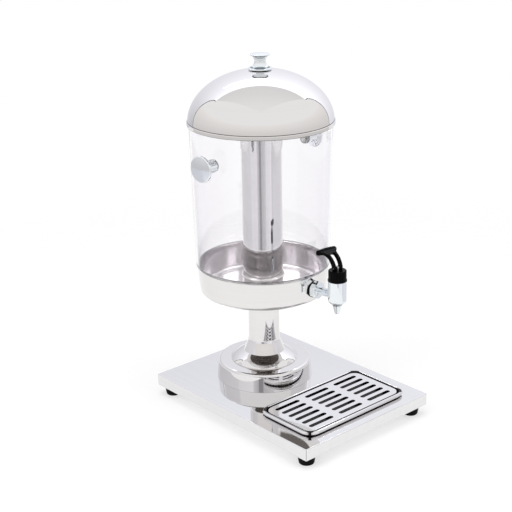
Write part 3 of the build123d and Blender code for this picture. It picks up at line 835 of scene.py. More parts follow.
# The floor is thinner than the wall, which keeps it just clear of the tank's underside.
PAN_FLOOR = COLUMN_TOP + THIN_SHEET
PAN_MIDDLE_RADIUS = 98.3
PAN_FLARE = 0.087
SATIN_LEVELS = (PAN_FLOOR + 0.3, PAN_RIM_LEVEL - 1)
# Below this height and within this radius the pan's underside is painted with shade.
UNDER_SHADE_TOP = COLUMN_TOP + 0.5
UNDER_SHADE_RADIUS = PAN_STEP_HEAD + 0.4
SHANK_HOLE = 8.3
SHANK_DRILL = 65


def inside_pan(place):
    """True on the inner face of the pan's wall, inwards of the middle of its sheet."""
    height = place.z / MM
    on_wall = SATIN_LEVELS[0] < height < SATIN_LEVELS[1]
    return on_wall and from_stack(place) < PAN_MIDDLE_RADIUS + (height - PAN_UNDER) * PAN_FLARE


def under_pan(place):
    """True below the pan's raised floor."""
    return place.z / MM < UNDER_SHADE_TOP and from_stack(place) < UNDER_SHADE_RADIUS


pan = turned("pan_drawn", [
    (TIE_BORE, COLUMN_TOP), (PAN_STEP_HEAD, COLUMN_TOP, PAN_STEP_ROUND),
    (PAN_STEP_FOOT, PAN_UNDER, PAN_STEP_ROUND), (PAN_FOOT_RADIUS, PAN_UNDER, PAN_FOOT_ROUND),
    *arc((PAN_RIM_RADIUS, PAN_RIM_LEVEL), PAN_BEAD, -60, 240, 14),
    (PAN_INNER_RADIUS, PAN_UNDER + SHEET, PAN_FOOT_ROUND - SHEET),
    (PAN_STEP_FOOT, PAN_UNDER + SHEET, PAN_STEP_ROUND), (PAN_STEP_HEAD, PAN_FLOOR, PAN_STEP_ROUND),
    (TIE_BORE, PAN_FLOOR)], steps=FINE_SPIN)
put(pan, STACK)
drill(pan, SHANK_HOLE, tap_level, tap_level - tap_out * SHANK_DRILL * MM)
dress(pan, polished_steel, "base", "polished_steel", "pan")
second_finish(pan, satin_steel, inside_pan)
# Painted shade on the pan's underside.
second_finish(pan, pan_underside_shade, under_pan)

# %% [markdown]
# ## The clear tank
# An injection moulded tank with a stepped foot that drops into the pan and a wall that
# widens upwards. A single sheet of clear faces would bend light only once. The wall has
# real thickness, because the edges of clear plastic are seen only through what the two
# faces of the wall do to the light.

# %% Tank
TANK_UNDER = 181.5
TANK_WALL = 3.0
TANK_FOOT_RADIUS = 97.58
TANK_FOOT_ROUND = 8.0
TANK_STEP = 225.2
STEP_IN_RADIUS = 101.3
STEP_OUT_RADIUS = 104.2
TANK_TOP = 456
TANK_TOP_RADIUS = 108.7
SIDE_KNOB_LEVEL = 401.6
SIDE_SCREW_HOLE = 3.3
SIDE_DRILL = (4, 8)


def tank_radius(level):
    """Outer radius of the tank's wall at a height."""
    share = (level - TANK_STEP) / (TANK_TOP - TANK_STEP)
    return STEP_OUT_RADIUS + share * (TANK_TOP_RADIUS - STEP_OUT_RADIUS)


tank = turned("tank_clear", [
    (TIE_BORE, TANK_UNDER), (TANK_FOOT_RADIUS, TANK_UNDER, TANK_FOOT_ROUND),
    (STEP_IN_RADIUS, TANK_STEP, 0.8), (STEP_OUT_RADIUS, TANK_STEP, 1.2), (TANK_TOP_RADIUS, TANK_TOP, 1.0),
    (TANK_TOP_RADIUS - TANK_WALL, TANK_TOP, 1.0), (STEP_OUT_RADIUS - TANK_WALL, TANK_STEP + TANK_WALL, 1.0),
    (STEP_IN_RADIUS - TANK_WALL, TANK_STEP, 1.0),
    (TANK_FOOT_RADIUS - TANK_WALL, TANK_UNDER + TANK_WALL, TANK_FOOT_ROUND - TANK_WALL),
    (TIE_BORE, TANK_UNDER + TANK_WALL)], steps=FINE_SPIN)
put(tank, STACK)
drill(tank, SHANK_HOLE, tap_level, tap_level - tap_out * SHANK_DRILL * MM)
knob_outs = [about_z(TANK_TURN + side) @ FRONT for side in (-math.pi / 2, math.pi / 2)]
knob_reach = tank_radius(SIDE_KNOB_LEVEL) * MM
knob_seats = [STACK + UP * SIDE_KNOB_LEVEL * MM + out * knob_reach for out in knob_outs]
for seat, out in zip(knob_seats, knob_outs):
    drill(tank, SIDE_SCREW_HOLE, seat + out * SIDE_DRILL[0] * MM, seat - out * SIDE_DRILL[1] * MM)
dress(tank, clear_plastic, "base", "clear_polycarbonate", "tank")

# %% [markdown]
# ## The ice tube in its socket
# A polished tube that is filled with ice, closed by a slip-on cap and standing in a
# small steel cup with a rolled rim. Plain cylinders would do at this size for a matt
# material. In a mirror, the rolled rim and the small edge roundings are all that tells
# the three pieces apart, so each is spun with its own sheet thickness.

# %% Socket
SOCKET_UNDER = 185.5
SOCKET_RADIUS = 32.4
SOCKET_RIM = (32.9, 205)
SOCKET_ROLL = 1.5
socket = turned("socket_cup", [
    (TIE_BORE, SOCKET_UNDER), (SOCKET_RADIUS, SOCKET_UNDER, 1.0),
    *arc(SOCKET_RIM, SOCKET_ROLL, -110, 180, 14),
    (SOCKET_RADIUS - SHEET, SOCKET_UNDER + SHEET), (TIE_BORE, SOCKET_UNDER + SHEET)])
put(socket, STACK)
dress(socket, polished_steel, "base", "polished_steel", "ice_tube_socket")

# %% Ice tube
TUBE_RADIUS = 31
TUBE_INNER = TUBE_RADIUS - THIN_SHEET
TUBE_FOOT = 186.8
TUBE_FLOOR = 202.8
TUBE_TOP = 430.8
EDGE_ROUND = 0.3
ice_tube = turned("ice_tube_drawn", [
    (0, TUBE_FLOOR), (TUBE_INNER, TUBE_FLOOR), (TUBE_INNER, TUBE_FOOT), (TUBE_RADIUS, TUBE_FOOT, EDGE_ROUND),
    (TUBE_RADIUS, TUBE_TOP, EDGE_ROUND), (TUBE_INNER, TUBE_TOP), (TUBE_INNER, TUBE_FLOOR + THIN_SHEET),
    (0, TUBE_FLOOR + THIN_SHEET)])
put(ice_tube, STACK)
dress(ice_tube, polished_steel, "ice_tube", "polished_steel", "ice_tube")

# %% Cap of the ice tube
CAP_RADIUS = 32.2
CAP_TOP = 431.9
CAP_FOOT = 407.9
cap = turned("ice_tube_cap_drawn", [
    (0, CAP_TOP), (CAP_RADIUS, CAP_TOP, 1.4), (CAP_RADIUS, CAP_FOOT, EDGE_ROUND),
    (CAP_RADIUS - THIN_SHEET, CAP_FOOT), (CAP_RADIUS - THIN_SHEET, CAP_TOP - THIN_SHEET, 0.5),
    (0, CAP_TOP - THIN_SHEET)])
put(cap, STACK)
dress(cap, polished_steel, "ice_tube_cap", "polished_steel", "ice_tube_cap")

# %% [markdown]
# ## The dome lid
# A spun dome, in section a quarter of an ellipse, with its rim rolled into a hem. A
# scaled sphere has its poles and rings in the wrong places for the hem, so the dome is
# spun like the rest. The hem is a separate bulge below a fine crease, which draws the
# line round the foot of the dome. The crease gets a darker steel as painted shade, and
# the hem's lower edge a near black one as painted shade where it meets the tank.

# %% Dome
DOME_BASE = 447.885
DOME_RADIUS = 110.4
DOME_RISE = 78.5
DOME_SPIN = 224
HOLE_TURN = 88.55
CREASE_TURN = 2.9
CREASE_RADIUS = 109.95
CREASE_HEIGHT = 3.5
HEM_RADIUS = 110.45
HEM_HALF = 1.85
HEM_BEAD = 1.15
HEM_INNER_RADIUS = 109.5
HEM_FOLD_HEIGHT = 2.2
FOLD_TOP = (109.1, 3.4)
HEM_EDGE_TOP = DOME_BASE - 2.0
CREASE_LEVELS = (DOME_BASE + CREASE_HEIGHT - 0.55, DOME_BASE + CREASE_HEIGHT + 0.2)


def ellipse(radius, height, start, end, steps):
    """Points of an upright ellipse over the dome's base, between two angles."""
    turns = [math.radians(start + (end - start) * step / steps) for step in range(steps + 1)]
    return [(radius * math.cos(a), DOME_BASE + height * math.sin(a)) for a in turns]


def hem_edge(place):
    """True on the lower edge of the hem."""
    return from_stack(place) > HEM_INNER_RADIUS and place.z / MM < HEM_EDGE_TOP


def hem_crease(place):
    """True in the crease between the dome and its hem."""
    return from_stack(place) > HEM_INNER_RADIUS and CREASE_LEVELS[0] < place.z / MM < CREASE_LEVELS[1]


dome = turned("dome_spun", [
    *ellipse(DOME_RADIUS, DOME_RISE, HOLE_TURN, CREASE_TURN, 72), (CREASE_RADIUS, DOME_BASE + CREASE_HEIGHT),
    *arc((HEM_RADIUS, DOME_BASE + HEM_HALF), HEM_BEAD, 110, 0, 8),
    *arc((HEM_RADIUS, DOME_BASE - HEM_HALF), HEM_BEAD, 0, -180, 12),
    (HEM_RADIUS - HEM_BEAD, DOME_BASE + HEM_FOLD_HEIGHT), (FOLD_TOP[0], DOME_BASE + FOLD_TOP[1]),
    *ellipse(DOME_RADIUS - SHEET, DOME_RISE - THIN_SHEET, CREASE_TURN + 0.5, HOLE_TURN - 0.01, 60)],
    steps=DOME_SPIN)
put(dome, STACK)
dress(dome, polished_steel, "lid", "polished_steel", "lid_dome")
# Painted shade: near black below the hem where it meets the tank, and darker in the crease.
second_finish(dome, painted_shade_steel, hem_edge)
second_finish(dome, crease_shade_steel, hem_crease)

# %% [markdown]
# ## The lid knob
# A turned and chromed spool: a thin flange on the dome, a hollow waist and a flat head
# with a slight crown. Three cylinders joined together would have no curve at the waist.
# The profile has true arcs there, and rounded edges, since chrome shows them as bright
# lines. The tight fillets at both ends of the waist get a dark chrome, as painted shade.

# %% Crowns and waists
def crown(edge, rise, steps=14):
    """Shallow dome from an edge point up to the axis."""
    radius = (edge[0]**2 + rise**2) / (2 * rise)
    start = 90 - math.degrees(math.asin(edge[0] / radius))
    return arc((0, edge[1] + rise - radius), radius, start, 90, steps)


def waist(foot, narrow, head, steps=18):
    """Hollow arc from a foot point through the narrowest radius to a head point."""
    a, c = Vector(foot), Vector(head)
    b = Vector((narrow, (a.y + c.y) / 2))
    pull_in = b - a
    lean = c - a
    twice_area = 2 * (pull_in.x * lean.y - pull_in.y * lean.x)
    centre = a + Vector((lean.y * pull_in.length_squared - pull_in.y * lean.length_squared,
                         pull_in.x * lean.length_squared - lean.x * pull_in.length_squared)) / twice_area
    ends = [math.degrees(math.atan2(*(point - centre).yx)) % 360 for point in (a, c)]
    return arc(centre, (a - centre).length, *ends, steps)


print("points in a crown:", len(crown((10, 0), 1)), "and in a waist:", len(waist((10, 0), 5, (10, 10))))

# %% Lid knob
DOME_APEX = DOME_BASE + DOME_RISE
FLANGE_RADIUS = 18.1
FLANGE_HEIGHT = 2
WAIST_RADIUS = 8.6
HEAD_RADIUS = 14.8
HEAD_UNDER = 21
HEAD_EDGE = 22.2
HEAD_CROWN = 1.8
KNOB_BORE = 2.5
KNOB_BORE_DEPTH = 12
FILLET_HEIGHTS = ((2.6, 4.2), (19.3, 21.1))
FILLET_RADIUS = 8


def knob_fillet(place):
    """True in the fillets at both ends of the knob's waist."""
    height = place.z / MM - DOME_APEX
    return from_stack(place) > FILLET_RADIUS and any(low < height < high for low, high in FILLET_HEIGHTS)


lid_knob = turned("lid_knob_turned", [
    (0, KNOB_BORE_DEPTH), (KNOB_BORE, KNOB_BORE_DEPTH), (KNOB_BORE, 0), (FLANGE_RADIUS, 0, 0.5),
    (FLANGE_RADIUS, FLANGE_HEIGHT, 0.7),
    *waist((FLANGE_RADIUS, FLANGE_HEIGHT), WAIST_RADIUS, (HEAD_RADIUS, HEAD_UNDER))[1:-1],
    (HEAD_RADIUS, HEAD_UNDER, 0.4), (HEAD_RADIUS, HEAD_EDGE, 0.6),
    *crown((HEAD_RADIUS, HEAD_EDGE), HEAD_CROWN)[2:]], steps=SMALL_SPIN)
put(lid_knob, STACK + UP * DOME_APEX * MM)
dress(lid_knob, chrome, "lid", "chrome_plate", "lid_knob")
# Painted shade in the fillets at both ends of the waist.
second_finish(lid_knob, corner_shade_chrome, knob_fillet)

# %% [markdown]
# ## The carrying knobs
# Two chromed knobs stand out of the tank on short stems, with brushed faces. A stem has
# to meet a round wall, and a flat end would leave a gap or cut into the plastic. So each
# knob is turned a little too long, and the tank's own outer shape is cut out of it.

# %% Carrying knobs
STEM_RADIUS = 10
STEM_SPARE = 4
STEM_END = 19.5
SIDE_KNOB_RADIUS = 19.8
SIDE_KNOB_BACK = 22.5
SIDE_KNOB_FACE = 25.5
SIDE_KNOB_CROWN = 4.5
SIDE_KNOB_BORE = 3.0
SIDE_KNOB_DRILL = (14, 6)
BRUSHED_FROM = 26.2
CUT_LEVELS = (360, 440)
CUTTER_SPIN = 256
side_knob = turned("side_knob_0", [
    (0, -STEM_SPARE), (STEM_RADIUS, -STEM_SPARE), (STEM_RADIUS, STEM_END, 1.6),
    (SIDE_KNOB_RADIUS, SIDE_KNOB_BACK, 0.8), (SIDE_KNOB_RADIUS, SIDE_KNOB_FACE, 1.4),
    *crown((SIDE_KNOB_RADIUS, SIDE_KNOB_FACE), SIDE_KNOB_CROWN)[1:]], steps=SMALL_SPIN)
side_knobs = [side_knob, copied(side_knob, "side_knob_1")]
tank_shape = turned("tank_shape_0", [
    (0, CUT_LEVELS[0]), *((tank_radius(level), level) for level in CUT_LEVELS), (0, CUT_LEVELS[1])],
    steps=CUTTER_SPIN)
tank_shapes = [put(tank_shape, STACK), copied(tank_shape, "tank_shape_1")]
for number, (piece, seat, out) in enumerate(zip(side_knobs, knob_seats, knob_outs)):
    put(piece, seat, out.to_track_quat("Z", "Y").to_matrix())
    combine(piece, tank_shapes[number], "DIFFERENCE")
    smooth(piece)
    drill(piece, SIDE_KNOB_BORE, seat + out * SIDE_KNOB_DRILL[0] * MM, seat - out * SIDE_KNOB_DRILL[1] * MM)
    nodes = ["side_knobs"] if number == 0 else []
    dress(piece, chrome, "base", "chrome_plate", *nodes)
    second_finish(piece, brushed_chrome, lambda place: (place - seat).dot(out) > BRUSHED_FROM * MM)

# %% [markdown]
# ## The tap body
# A casting: an upright barrel with a rounded foot, a tapered nozzle below it and a
# nipple that carries the threaded shank through pan and tank. Extruding a side out of
# the barrel would leave it square where it should be round. So barrel and shank are
# turned about their own axes, welded with a Boolean and bored through. The ring where
# the nozzle leaves the barrel gets a dark chrome, painted shade in that tight corner.

# %% Tap barrel and nozzle
NOZZLE_BORE = 2.2
NOZZLE_TIP = -28.5
NOZZLE_TIP_RADIUS = 3.5
NOZZLE_ROOT_RADIUS = 7.8
# How far below the barrel the painted shade on the nozzle's root reaches.
SHADE_RING = 2.8
BARREL_FOOT = -12
BARREL_TOP = 24
BARREL_RADIUS = 14.2
BARREL_BORE = 10.5
SEAT_LEVEL = -8.3
nozzle_taper = (NOZZLE_ROOT_RADIUS - NOZZLE_TIP_RADIUS) / (BARREL_FOOT - NOZZLE_TIP)
barrel = turned("tap_barrel", [
    (NOZZLE_BORE, NOZZLE_TIP), (NOZZLE_TIP_RADIUS, NOZZLE_TIP, 0.5),
    (NOZZLE_ROOT_RADIUS - SHADE_RING * nozzle_taper, BARREL_FOOT - SHADE_RING),
    (NOZZLE_ROOT_RADIUS, BARREL_FOOT, 0.3), (BARREL_RADIUS, BARREL_FOOT, 6), (BARREL_RADIUS, BARREL_TOP, 0.3),
    (BARREL_BORE, BARREL_TOP), (BARREL_BORE, SEAT_LEVEL), (NOZZLE_BORE, SEAT_LEVEL)], steps=SMALL_SPIN)
put(barrel, tap_level)
print("nozzle opens by", round(nozzle_taper, 3), "mm of radius in each mm")

# %% Tap shank
NECK_RADIUS = 6.3
NECK_START = 11.5
NECK_END = 33.2
SHANK_BORE = 4.2
SHANK_START = 34.04
SHANK_END = 59.54
SHANK_END_RADIUS = 7.4
THREAD_TURNS = 9
THREAD_START = 43.2
THREAD_PITCH = 1.75
THREAD_RISE = 0.85
THREAD_CREST = 8.0
THREAD_ROOT = 7.35
SHANK_SPIN = 64
inwards = (-tap_out).to_track_quat("Z", "Y").to_matrix()
thread_starts = [THREAD_START + turn * THREAD_PITCH for turn in range(THREAD_TURNS)]
threads = [point for start in thread_starts
           for point in ((THREAD_CREST, start), (THREAD_ROOT, start + THREAD_RISE))]
shank = turned("shank", [
    (SHANK_BORE, NECK_START), (NECK_RADIUS, NECK_START), (NECK_RADIUS, NECK_END, 0.6),
    (THREAD_CREST, SHANK_START, 0.2), *threads, (SHANK_END_RADIUS, SHANK_END), (SHANK_BORE, SHANK_END)],
    steps=SHANK_SPIN)
put(shank, tap_level, inwards)
print("shank with", THREAD_TURNS, "turns of thread")

# %% Tap body
BORE_START = 8
BORE_END = 14
RING_DEPTHS = (0.1, SHADE_RING + 0.2)
RING_RADII = (6.4, NOZZLE_ROOT_RADIUS + 0.2)


def nozzle_root(place):
    """True on the ring of the nozzle just below the barrel."""
    depth = NIPPLE_LEVEL + BARREL_FOOT - place.z / MM
    radius = (place - tap_axis).xy.length / MM
    return RING_DEPTHS[0] < depth < RING_DEPTHS[1] and RING_RADII[0] < radius < RING_RADII[1]


combine(barrel, shank, "UNION")
drill(barrel, SHANK_BORE, tap_level - tap_out * BORE_START * MM, tap_level - tap_out * BORE_END * MM)
dress(barrel, chrome, "base", "chrome_plate", "tap_body")
# Painted shade on the ring where the nozzle leaves the barrel.
second_finish(barrel, corner_shade_chrome, nozzle_root)

# %% [markdown]
# ## The hexagon nut
# A hexagon bar that was chamfered on the lathe. Bevelling a six-sided cylinder cuts
# straight chamfers. What a six-sided block and a turned blank have in common is exactly
# a nut, with the curved lines at its corners.

# %% Outer nut
NUT_FLATS = 25.0
NUT_HEIGHT = 9
NUT_BORE = 8.05
NUT_FACE_RADIUS = 12.3
NUT_BLANK_RADIUS = 14.7
NUT_CHAMFER = 1.4
FINE_EDGE = 0.25
deselect()
bpy.ops.mesh.primitive_cylinder_add(vertices=6, radius=NUT_FLATS / math.sqrt(3) * MM, depth=NUT_HEIGHT * MM,
                                    location=(0, 0, NUT_HEIGHT / 2 * MM))
outer_nut = named("tap_outer_nut_chamfered")
bpy.ops.object.transform_apply(location=True, rotation=True, scale=True)
blank = turned("blank", [
    (NUT_BORE, 0), (NUT_FACE_RADIUS, 0), (NUT_BLANK_RADIUS, NUT_CHAMFER),
    (NUT_BLANK_RADIUS, NUT_HEIGHT - NUT_CHAMFER), (NUT_FACE_RADIUS, NUT_HEIGHT), (NUT_BORE, NUT_HEIGHT)],
    steps=SMALL_SPIN)
combine(outer_nut, blank, "INTERSECT")
apply_modifier(outer_nut, "BEVEL", width=FINE_EDGE * MM, segments=2, limit_method="ANGLE",
               angle_limit=math.radians(18))
put(outer_nut, tap_level - tap_out * SHANK_START * MM, inwards)
smooth(outer_nut)
dress(outer_nut, chrome, "base", "chrome_plate", "tap_outer_nut")

# %% [markdown]
# ## The ribbed bonnet
# The black cap that is screwed on by hand: a round cap with a flange, and twenty
# grooves round it for the grip. A bump in the material would not show in the outline.
# The grooves are one rod copied round the axis and cut away in one go.

# %% Bonnet
RIBS = 20
ROD_SPIN = 20
GROOVE_RADIUS = 0.95
GROOVE_REACH = 13.85
GROOVE_FOOT = 26.3
GROOVE_TOP = 44
BONNET_TOP = 41
BONNET_RADIUS = 13.7
BONNET_FLANGE_TOP = 26.2
BONNET_FLANGE_RADIUS = 14.6
PLUG_RADIUS = 10.4
PLUG_FOOT = 16
SPRING_ROOM_RADIUS = 7.8
SPRING_ROOM_TOP = 38.4
STEM_HOLE = 2.6


def joined(pieces):
    """Several pieces as one."""
    choose(*pieces)
    bpy.ops.object.join()
    return pieces[0]


bonnet = turned("tap_bonnet_ribbed", [
    (STEM_HOLE, BONNET_TOP), (BONNET_RADIUS, BONNET_TOP, 1.5), (BONNET_RADIUS, BONNET_FLANGE_TOP, 0.3),
    (BONNET_FLANGE_RADIUS, BONNET_FLANGE_TOP, 0.6), (BONNET_FLANGE_RADIUS, BARREL_TOP, 0.4),
    (PLUG_RADIUS, BARREL_TOP), (PLUG_RADIUS, PLUG_FOOT), (SPRING_ROOM_RADIUS, PLUG_FOOT),
    (SPRING_ROOM_RADIUS, SPRING_ROOM_TOP), (STEM_HOLE, SPRING_ROOM_TOP)])
rod = turned("rod_0", [
    (0, GROOVE_FOOT), (GROOVE_RADIUS, GROOVE_FOOT), (GROOVE_RADIUS, GROOVE_TOP), (0, GROOVE_TOP)],
    steps=ROD_SPIN)
rods = [rod] + [copied(rod, f"rod_{rib}") for rib in range(1, RIBS)]
for rib, piece in enumerate(rods):
    put(piece, about_z(2 * math.pi * rib / RIBS) @ Vector((GROOVE_REACH * MM, 0, 0)))
combine(bonnet, joined(rods), "DIFFERENCE")
put(bonnet, tap_level, about_z(TANK_TURN))
smooth(bonnet)
dress(bonnet, black_plastic, "base", "black_plastic", "tap_bonnet")

# %% [markdown]
# ## The loop lever
# The lever is moulded in one: two legs rise steeply from the pin, bend back and spread
# out to a round bar. It could be pulled out of a cube leg by leg. It is cut the way a
# carver would, from two views, because both outlines are known: the curved band seen
# from the side and the loop seen square to it. Bar and foot are added, and a voxel
# remesh with some smoothing gives the soft edges of a moulding.

# %% Flat cutters
def slab(name, outline, depth):
    """A flat piece: an outline in the XZ plane, thick along Y."""
    piece = draw_profile(name, outline, closed=True)
    bpy.ops.mesh.edge_face_add()
    bpy.ops.transform.translate(value=(0, -depth / 2 * MM, 0))
    pull(0, depth, 0)
    face_outwards()
    deselect()
    return piece


def mirrored(half):
    """An outline closed by its own mirror image."""
    return half + [(-point[0], *point[1:]) for point in reversed(half)]


def oblong(half_width, half_height, *corner):
    """Outline of a rectangle about the origin, with rounded corners if a radius is given."""
    signs = ((-1, -1), (1, -1), (1, 1), (-1, 1))
    return [(side * half_width, end * half_height, *corner) for side, end in signs]


print("an oblong outline:", oblong(2, 1))

# %% Lever band and loop
LEVER_RISE = 19.7
LEVER_LEAN = 25.7
LEVER_HALF = 2.8
LEVER_FOOT_LEAN = 12
LEVER_BLANK = 44
LOOP_FOOT = -6
LOOP_SPREAD = 8.8
LOOP_HEAD = 2.2
LEG_FOOT_HALF = 8.2
LEG_HEAD_HALF = 9.2
LOOP_HEAD_HALF = 15.2
LOOP_CUT = 110
WINDOW_FOOT = -8
WINDOW_FOOT_HALF = 3.2
WINDOW_HEAD_HALF = 5.0
WINDOW_TOP = 22.4
WINDOW_CUT = 120
QUARTER = math.pi / 2
tip = Vector((LEVER_LEAN, LEVER_RISE))
sideways = Matrix.Rotation(math.radians(-LEVER_FOOT_LEAN), 2) @ Vector((1, 0))
bend_radius = tip.length_squared / (2 * sideways.dot(tip))
bend_centre = sideways * bend_radius
foot_turn = 180 - LEVER_FOOT_LEAN
tip_turn = math.degrees(math.atan2(*(tip - bend_centre).yx))
lever = slab("tap_lever_moulded", [
    *arc(bend_centre, bend_radius + LEVER_HALF, foot_turn, tip_turn, 24),
    *arc(tip, LEVER_HALF, tip_turn, tip_turn - 180, 10),
    *arc(bend_centre, bend_radius - LEVER_HALF, tip_turn, foot_turn, 24),
    *arc((0, 0), LEVER_HALF, foot_turn + 180, foot_turn, 10)], LEVER_BLANK)
put(lever, Vector(), about_z(QUARTER))
loop = slab("loop", mirrored([
    (LEG_FOOT_HALF, LOOP_FOOT), (LEG_HEAD_HALF, tip.length - LOOP_SPREAD, 12),
    (LOOP_HEAD_HALF, tip.length - LOOP_HEAD), (LOOP_HEAD_HALF, tip.length)]), LOOP_CUT)
window = slab("window", mirrored([
    (WINDOW_FOOT_HALF, WINDOW_FOOT), (WINDOW_HEAD_HALF, WINDOW_TOP, 2.4)]), WINDOW_CUT)
combine(loop, window, "DIFFERENCE")
put(loop, Vector(), Matrix.Rotation(-math.atan2(LEVER_LEAN, LEVER_RISE), 3, "X"))
combine(lever, loop, "INTERSECT")
print("lever bent to a radius of", round(bend_radius, 1), "mm")

# %% Lever bar, foot and soft edges
LEVER_TURN = TANK_TURN - math.radians(12)
PIN_LEVEL = 247.0
PIN_HOLE = 1.22
BAR_HALF = 19
BAR_END = 4.4
BAR_MIDDLE = 5.1
BAR_SHOULDER = (4.9, 8)
CHEEK_HALF = (3.2, 2.94)
CHEEK_WIDTH = 15.6
STEM_SLOT_HALF = (2.9, 5.5)
STEM_SLOT_CUT = 60
PIN_REACH = 10
MOULD_VOXEL = 0.3
bar_centre = BAR_HALF - BAR_END
bar = turned("bar", [
    (0, -BAR_HALF), *arc((0, -bar_centre), BAR_END, -80, -8, 9), (BAR_SHOULDER[0], -BAR_SHOULDER[1]),
    (BAR_MIDDLE, 0), BAR_SHOULDER, *arc((0, bar_centre), BAR_END, 8, 80, 9), (0, BAR_HALF)],
    steps=ROUGH_SPIN)
put(bar, Vector((0, *tip)) * MM, Matrix.Rotation(QUARTER, 3, "Y"))
combine(lever, bar, "UNION")
cheeks = slab("cheeks", oblong(*CHEEK_HALF, 0.6), CHEEK_WIDTH)
combine(lever, put(cheeks, Vector(), about_z(QUARTER)), "UNION")
combine(lever, slab("stem_slot", oblong(*STEM_SLOT_HALF), STEM_SLOT_CUT), "DIFFERENCE")
apply_modifier(lever, "REMESH", mode="VOXEL", voxel_size=MOULD_VOXEL * MM, use_smooth_shade=True)
apply_modifier(lever, "SMOOTH", factor=0.5, iterations=10)
pin_middle = tap_axis + UP * PIN_LEVEL * MM
pin_along = about_z(LEVER_TURN) @ Vector((PIN_REACH * MM, 0, 0))
put(lever, pin_middle, about_z(LEVER_TURN))
drill(lever, PIN_HOLE, pin_middle - pin_along, pin_middle + pin_along)
dress(lever, black_plastic, "tap_lever", "black_plastic", "tap_lever")

# %% [markdown]
# ## The return spring
# A steel coil inside the bonnet that presses the cup onto the nozzle. A stack of rings
# would pass for it from afar. A small circle wound up with the Screw modifier is a true
# coil for as little work. It is built at one length, though the real one shortens a little as the stem lifts.

# %% Spring
COIL_TURNS = 11
COIL_STEPS = 28
COIL_RADIUS = 3.6
COIL_FOOT = 201.7
COIL_TOP = 241.4
WIRE = 0.6
WIRE_SIDES = 10
deselect()
bpy.ops.mesh.primitive_circle_add(vertices=WIRE_SIDES, radius=WIRE * MM, rotation=(QUARTER, 0, 0),
                                  location=(COIL_RADIUS * MM, 0, WIRE * MM))
coil = named("tap_spring_coil")
bpy.ops.object.transform_apply(location=True, rotation=True, scale=True)
apply_modifier(coil, "SCREW", iterations=COIL_TURNS, steps=COIL_STEPS, render_steps=COIL_STEPS,
               screw_offset=(COIL_TOP - COIL_FOOT - 2 * WIRE) / COIL_TURNS * MM)
pick(coil, "VERT", lambda place: True)
bpy.ops.mesh.fill_holes(sides=0)
face_outwards()
put(coil, tap_axis + UP * COIL_FOOT * MM)
smooth(coil)
dress(coil, zinc_plate, "base", "plated_steel", "tap_spring")
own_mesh(coil)

# %% [markdown]
# ## The drip tray
# A shallow pressed tray whose rim is rolled round a wire. The dish is a rounded
# rectangle pulled up into a wall. The rim could be a row of bevels on that wall, but it
# is a round section swept along the same rectangle, so it is a curve with a bevel. The
# inside of the dish is painted near black as painted shade, which is why the slots
# above it look black.

# %% Drip tray
TRAY_PLACE = Vector((0, -98, PLATE_TOP)) * MM
TRAY_WIDTH = 200.4
TRAY_DEPTH = 103.4
TRAY_CORNER = 15.2
TRAY_WALL = 4.2
TRAY_BEND = 1.2
RIM_OFFSET = 2.0
RIM_RADIUS = 2.8
INSIDE_MARGIN = 0.3


def pressed(name, width, depth, corner, level, wall, bend, sheet):
    """A shallow pressing: a rounded sheet with a wall pulled up or down from its edge."""
    piece = rounded_sheet(name, width, depth, corner, level)
    pull(0, 0, wall)
    bpy.ops.mesh.delete(type="FACE")
    pick(piece, "EDGE", lambda middle: at_level(middle, level))
    bpy.ops.mesh.bevel(offset=bend * MM, segments=BEND_SEGMENTS, affect="EDGES")
    face_outwards()
    return apply_modifier(piece, "SOLIDIFY", thickness=sheet * MM, offset=-1.0)


def inside_tray(place):
    """True on the floor and the walls inside the tray."""
    place = (place - TRAY_PLACE) / MM
    in_width = abs(place.x) < TRAY_WIDTH / 2 + INSIDE_MARGIN
    in_depth = abs(place.y) < TRAY_DEPTH / 2 + INSIDE_MARGIN
    return place.z > INSIDE_MARGIN and in_width and in_depth


tray = pressed("drip_tray_pressed", TRAY_WIDTH, TRAY_DEPTH, TRAY_CORNER, 0, TRAY_WALL, TRAY_BEND, THIN_SHEET)
rim = rounded_sheet("tray_rim", TRAY_WIDTH + 2 * RIM_OFFSET, TRAY_DEPTH + 2 * RIM_OFFSET,
                    TRAY_CORNER + RIM_OFFSET, TRAY_WALL)
bpy.ops.mesh.delete(type="ONLY_FACE")
choose(rim)
bpy.ops.object.convert(target="CURVE")
rim.data.bevel_depth = RIM_RADIUS * MM
rim.data.bevel_resolution = 6
bpy.ops.object.convert(target="MESH")
tray = joined([tray, bpy.context.object])
put(tray, TRAY_PLACE)
smooth(tray)
dress(tray, mirror_plate, "drip_tray", "polished_steel", "drip_tray")
# Painted shade: the tray's dish is near black, so its slots look dark.
second_finish(tray, painted_shade_steel, inside_tray)

# %% [markdown]
# ## The slotted grid
# A pressed cover with turned-down edges that stands in the tray. Slots painted on would
# have no depth. They are one cutter copied in three columns of six, and the cut edges
# get a small bevel, which catches the light as the edge of a punched slot does.

# %% Drip grid
GRID_WIDTH = 194.8
GRID_DEPTH = 97.8
GRID_CORNER = 14
GRID_TOP = 6
GRID_SKIRT = 5.2
GRID_BEND = 1.0
SLOT_COLUMNS = 3
SLOT_ROWS = 6
SLOT_PITCH = (61.7, 14.4)
SLOT_REACH = 20.5
SLOT_RADIUS = 3.5
SLOT_CUT = 20
GRID_SMOOTH_ANGLE = math.radians(24)
grid = pressed("drip_grid_punched", GRID_WIDTH, GRID_DEPTH, GRID_CORNER, GRID_TOP, -GRID_SKIRT, GRID_BEND,
               SHEET)
slot_xs = [(number - (SLOT_COLUMNS - 1) / 2) * SLOT_PITCH[0] for number in range(SLOT_COLUMNS)]
slot_ys = [(number - (SLOT_ROWS - 1) / 2) * SLOT_PITCH[1] for number in range(SLOT_ROWS)]
slot_places = [Vector((x, y, GRID_TOP)) * MM for x in slot_xs for y in slot_ys]
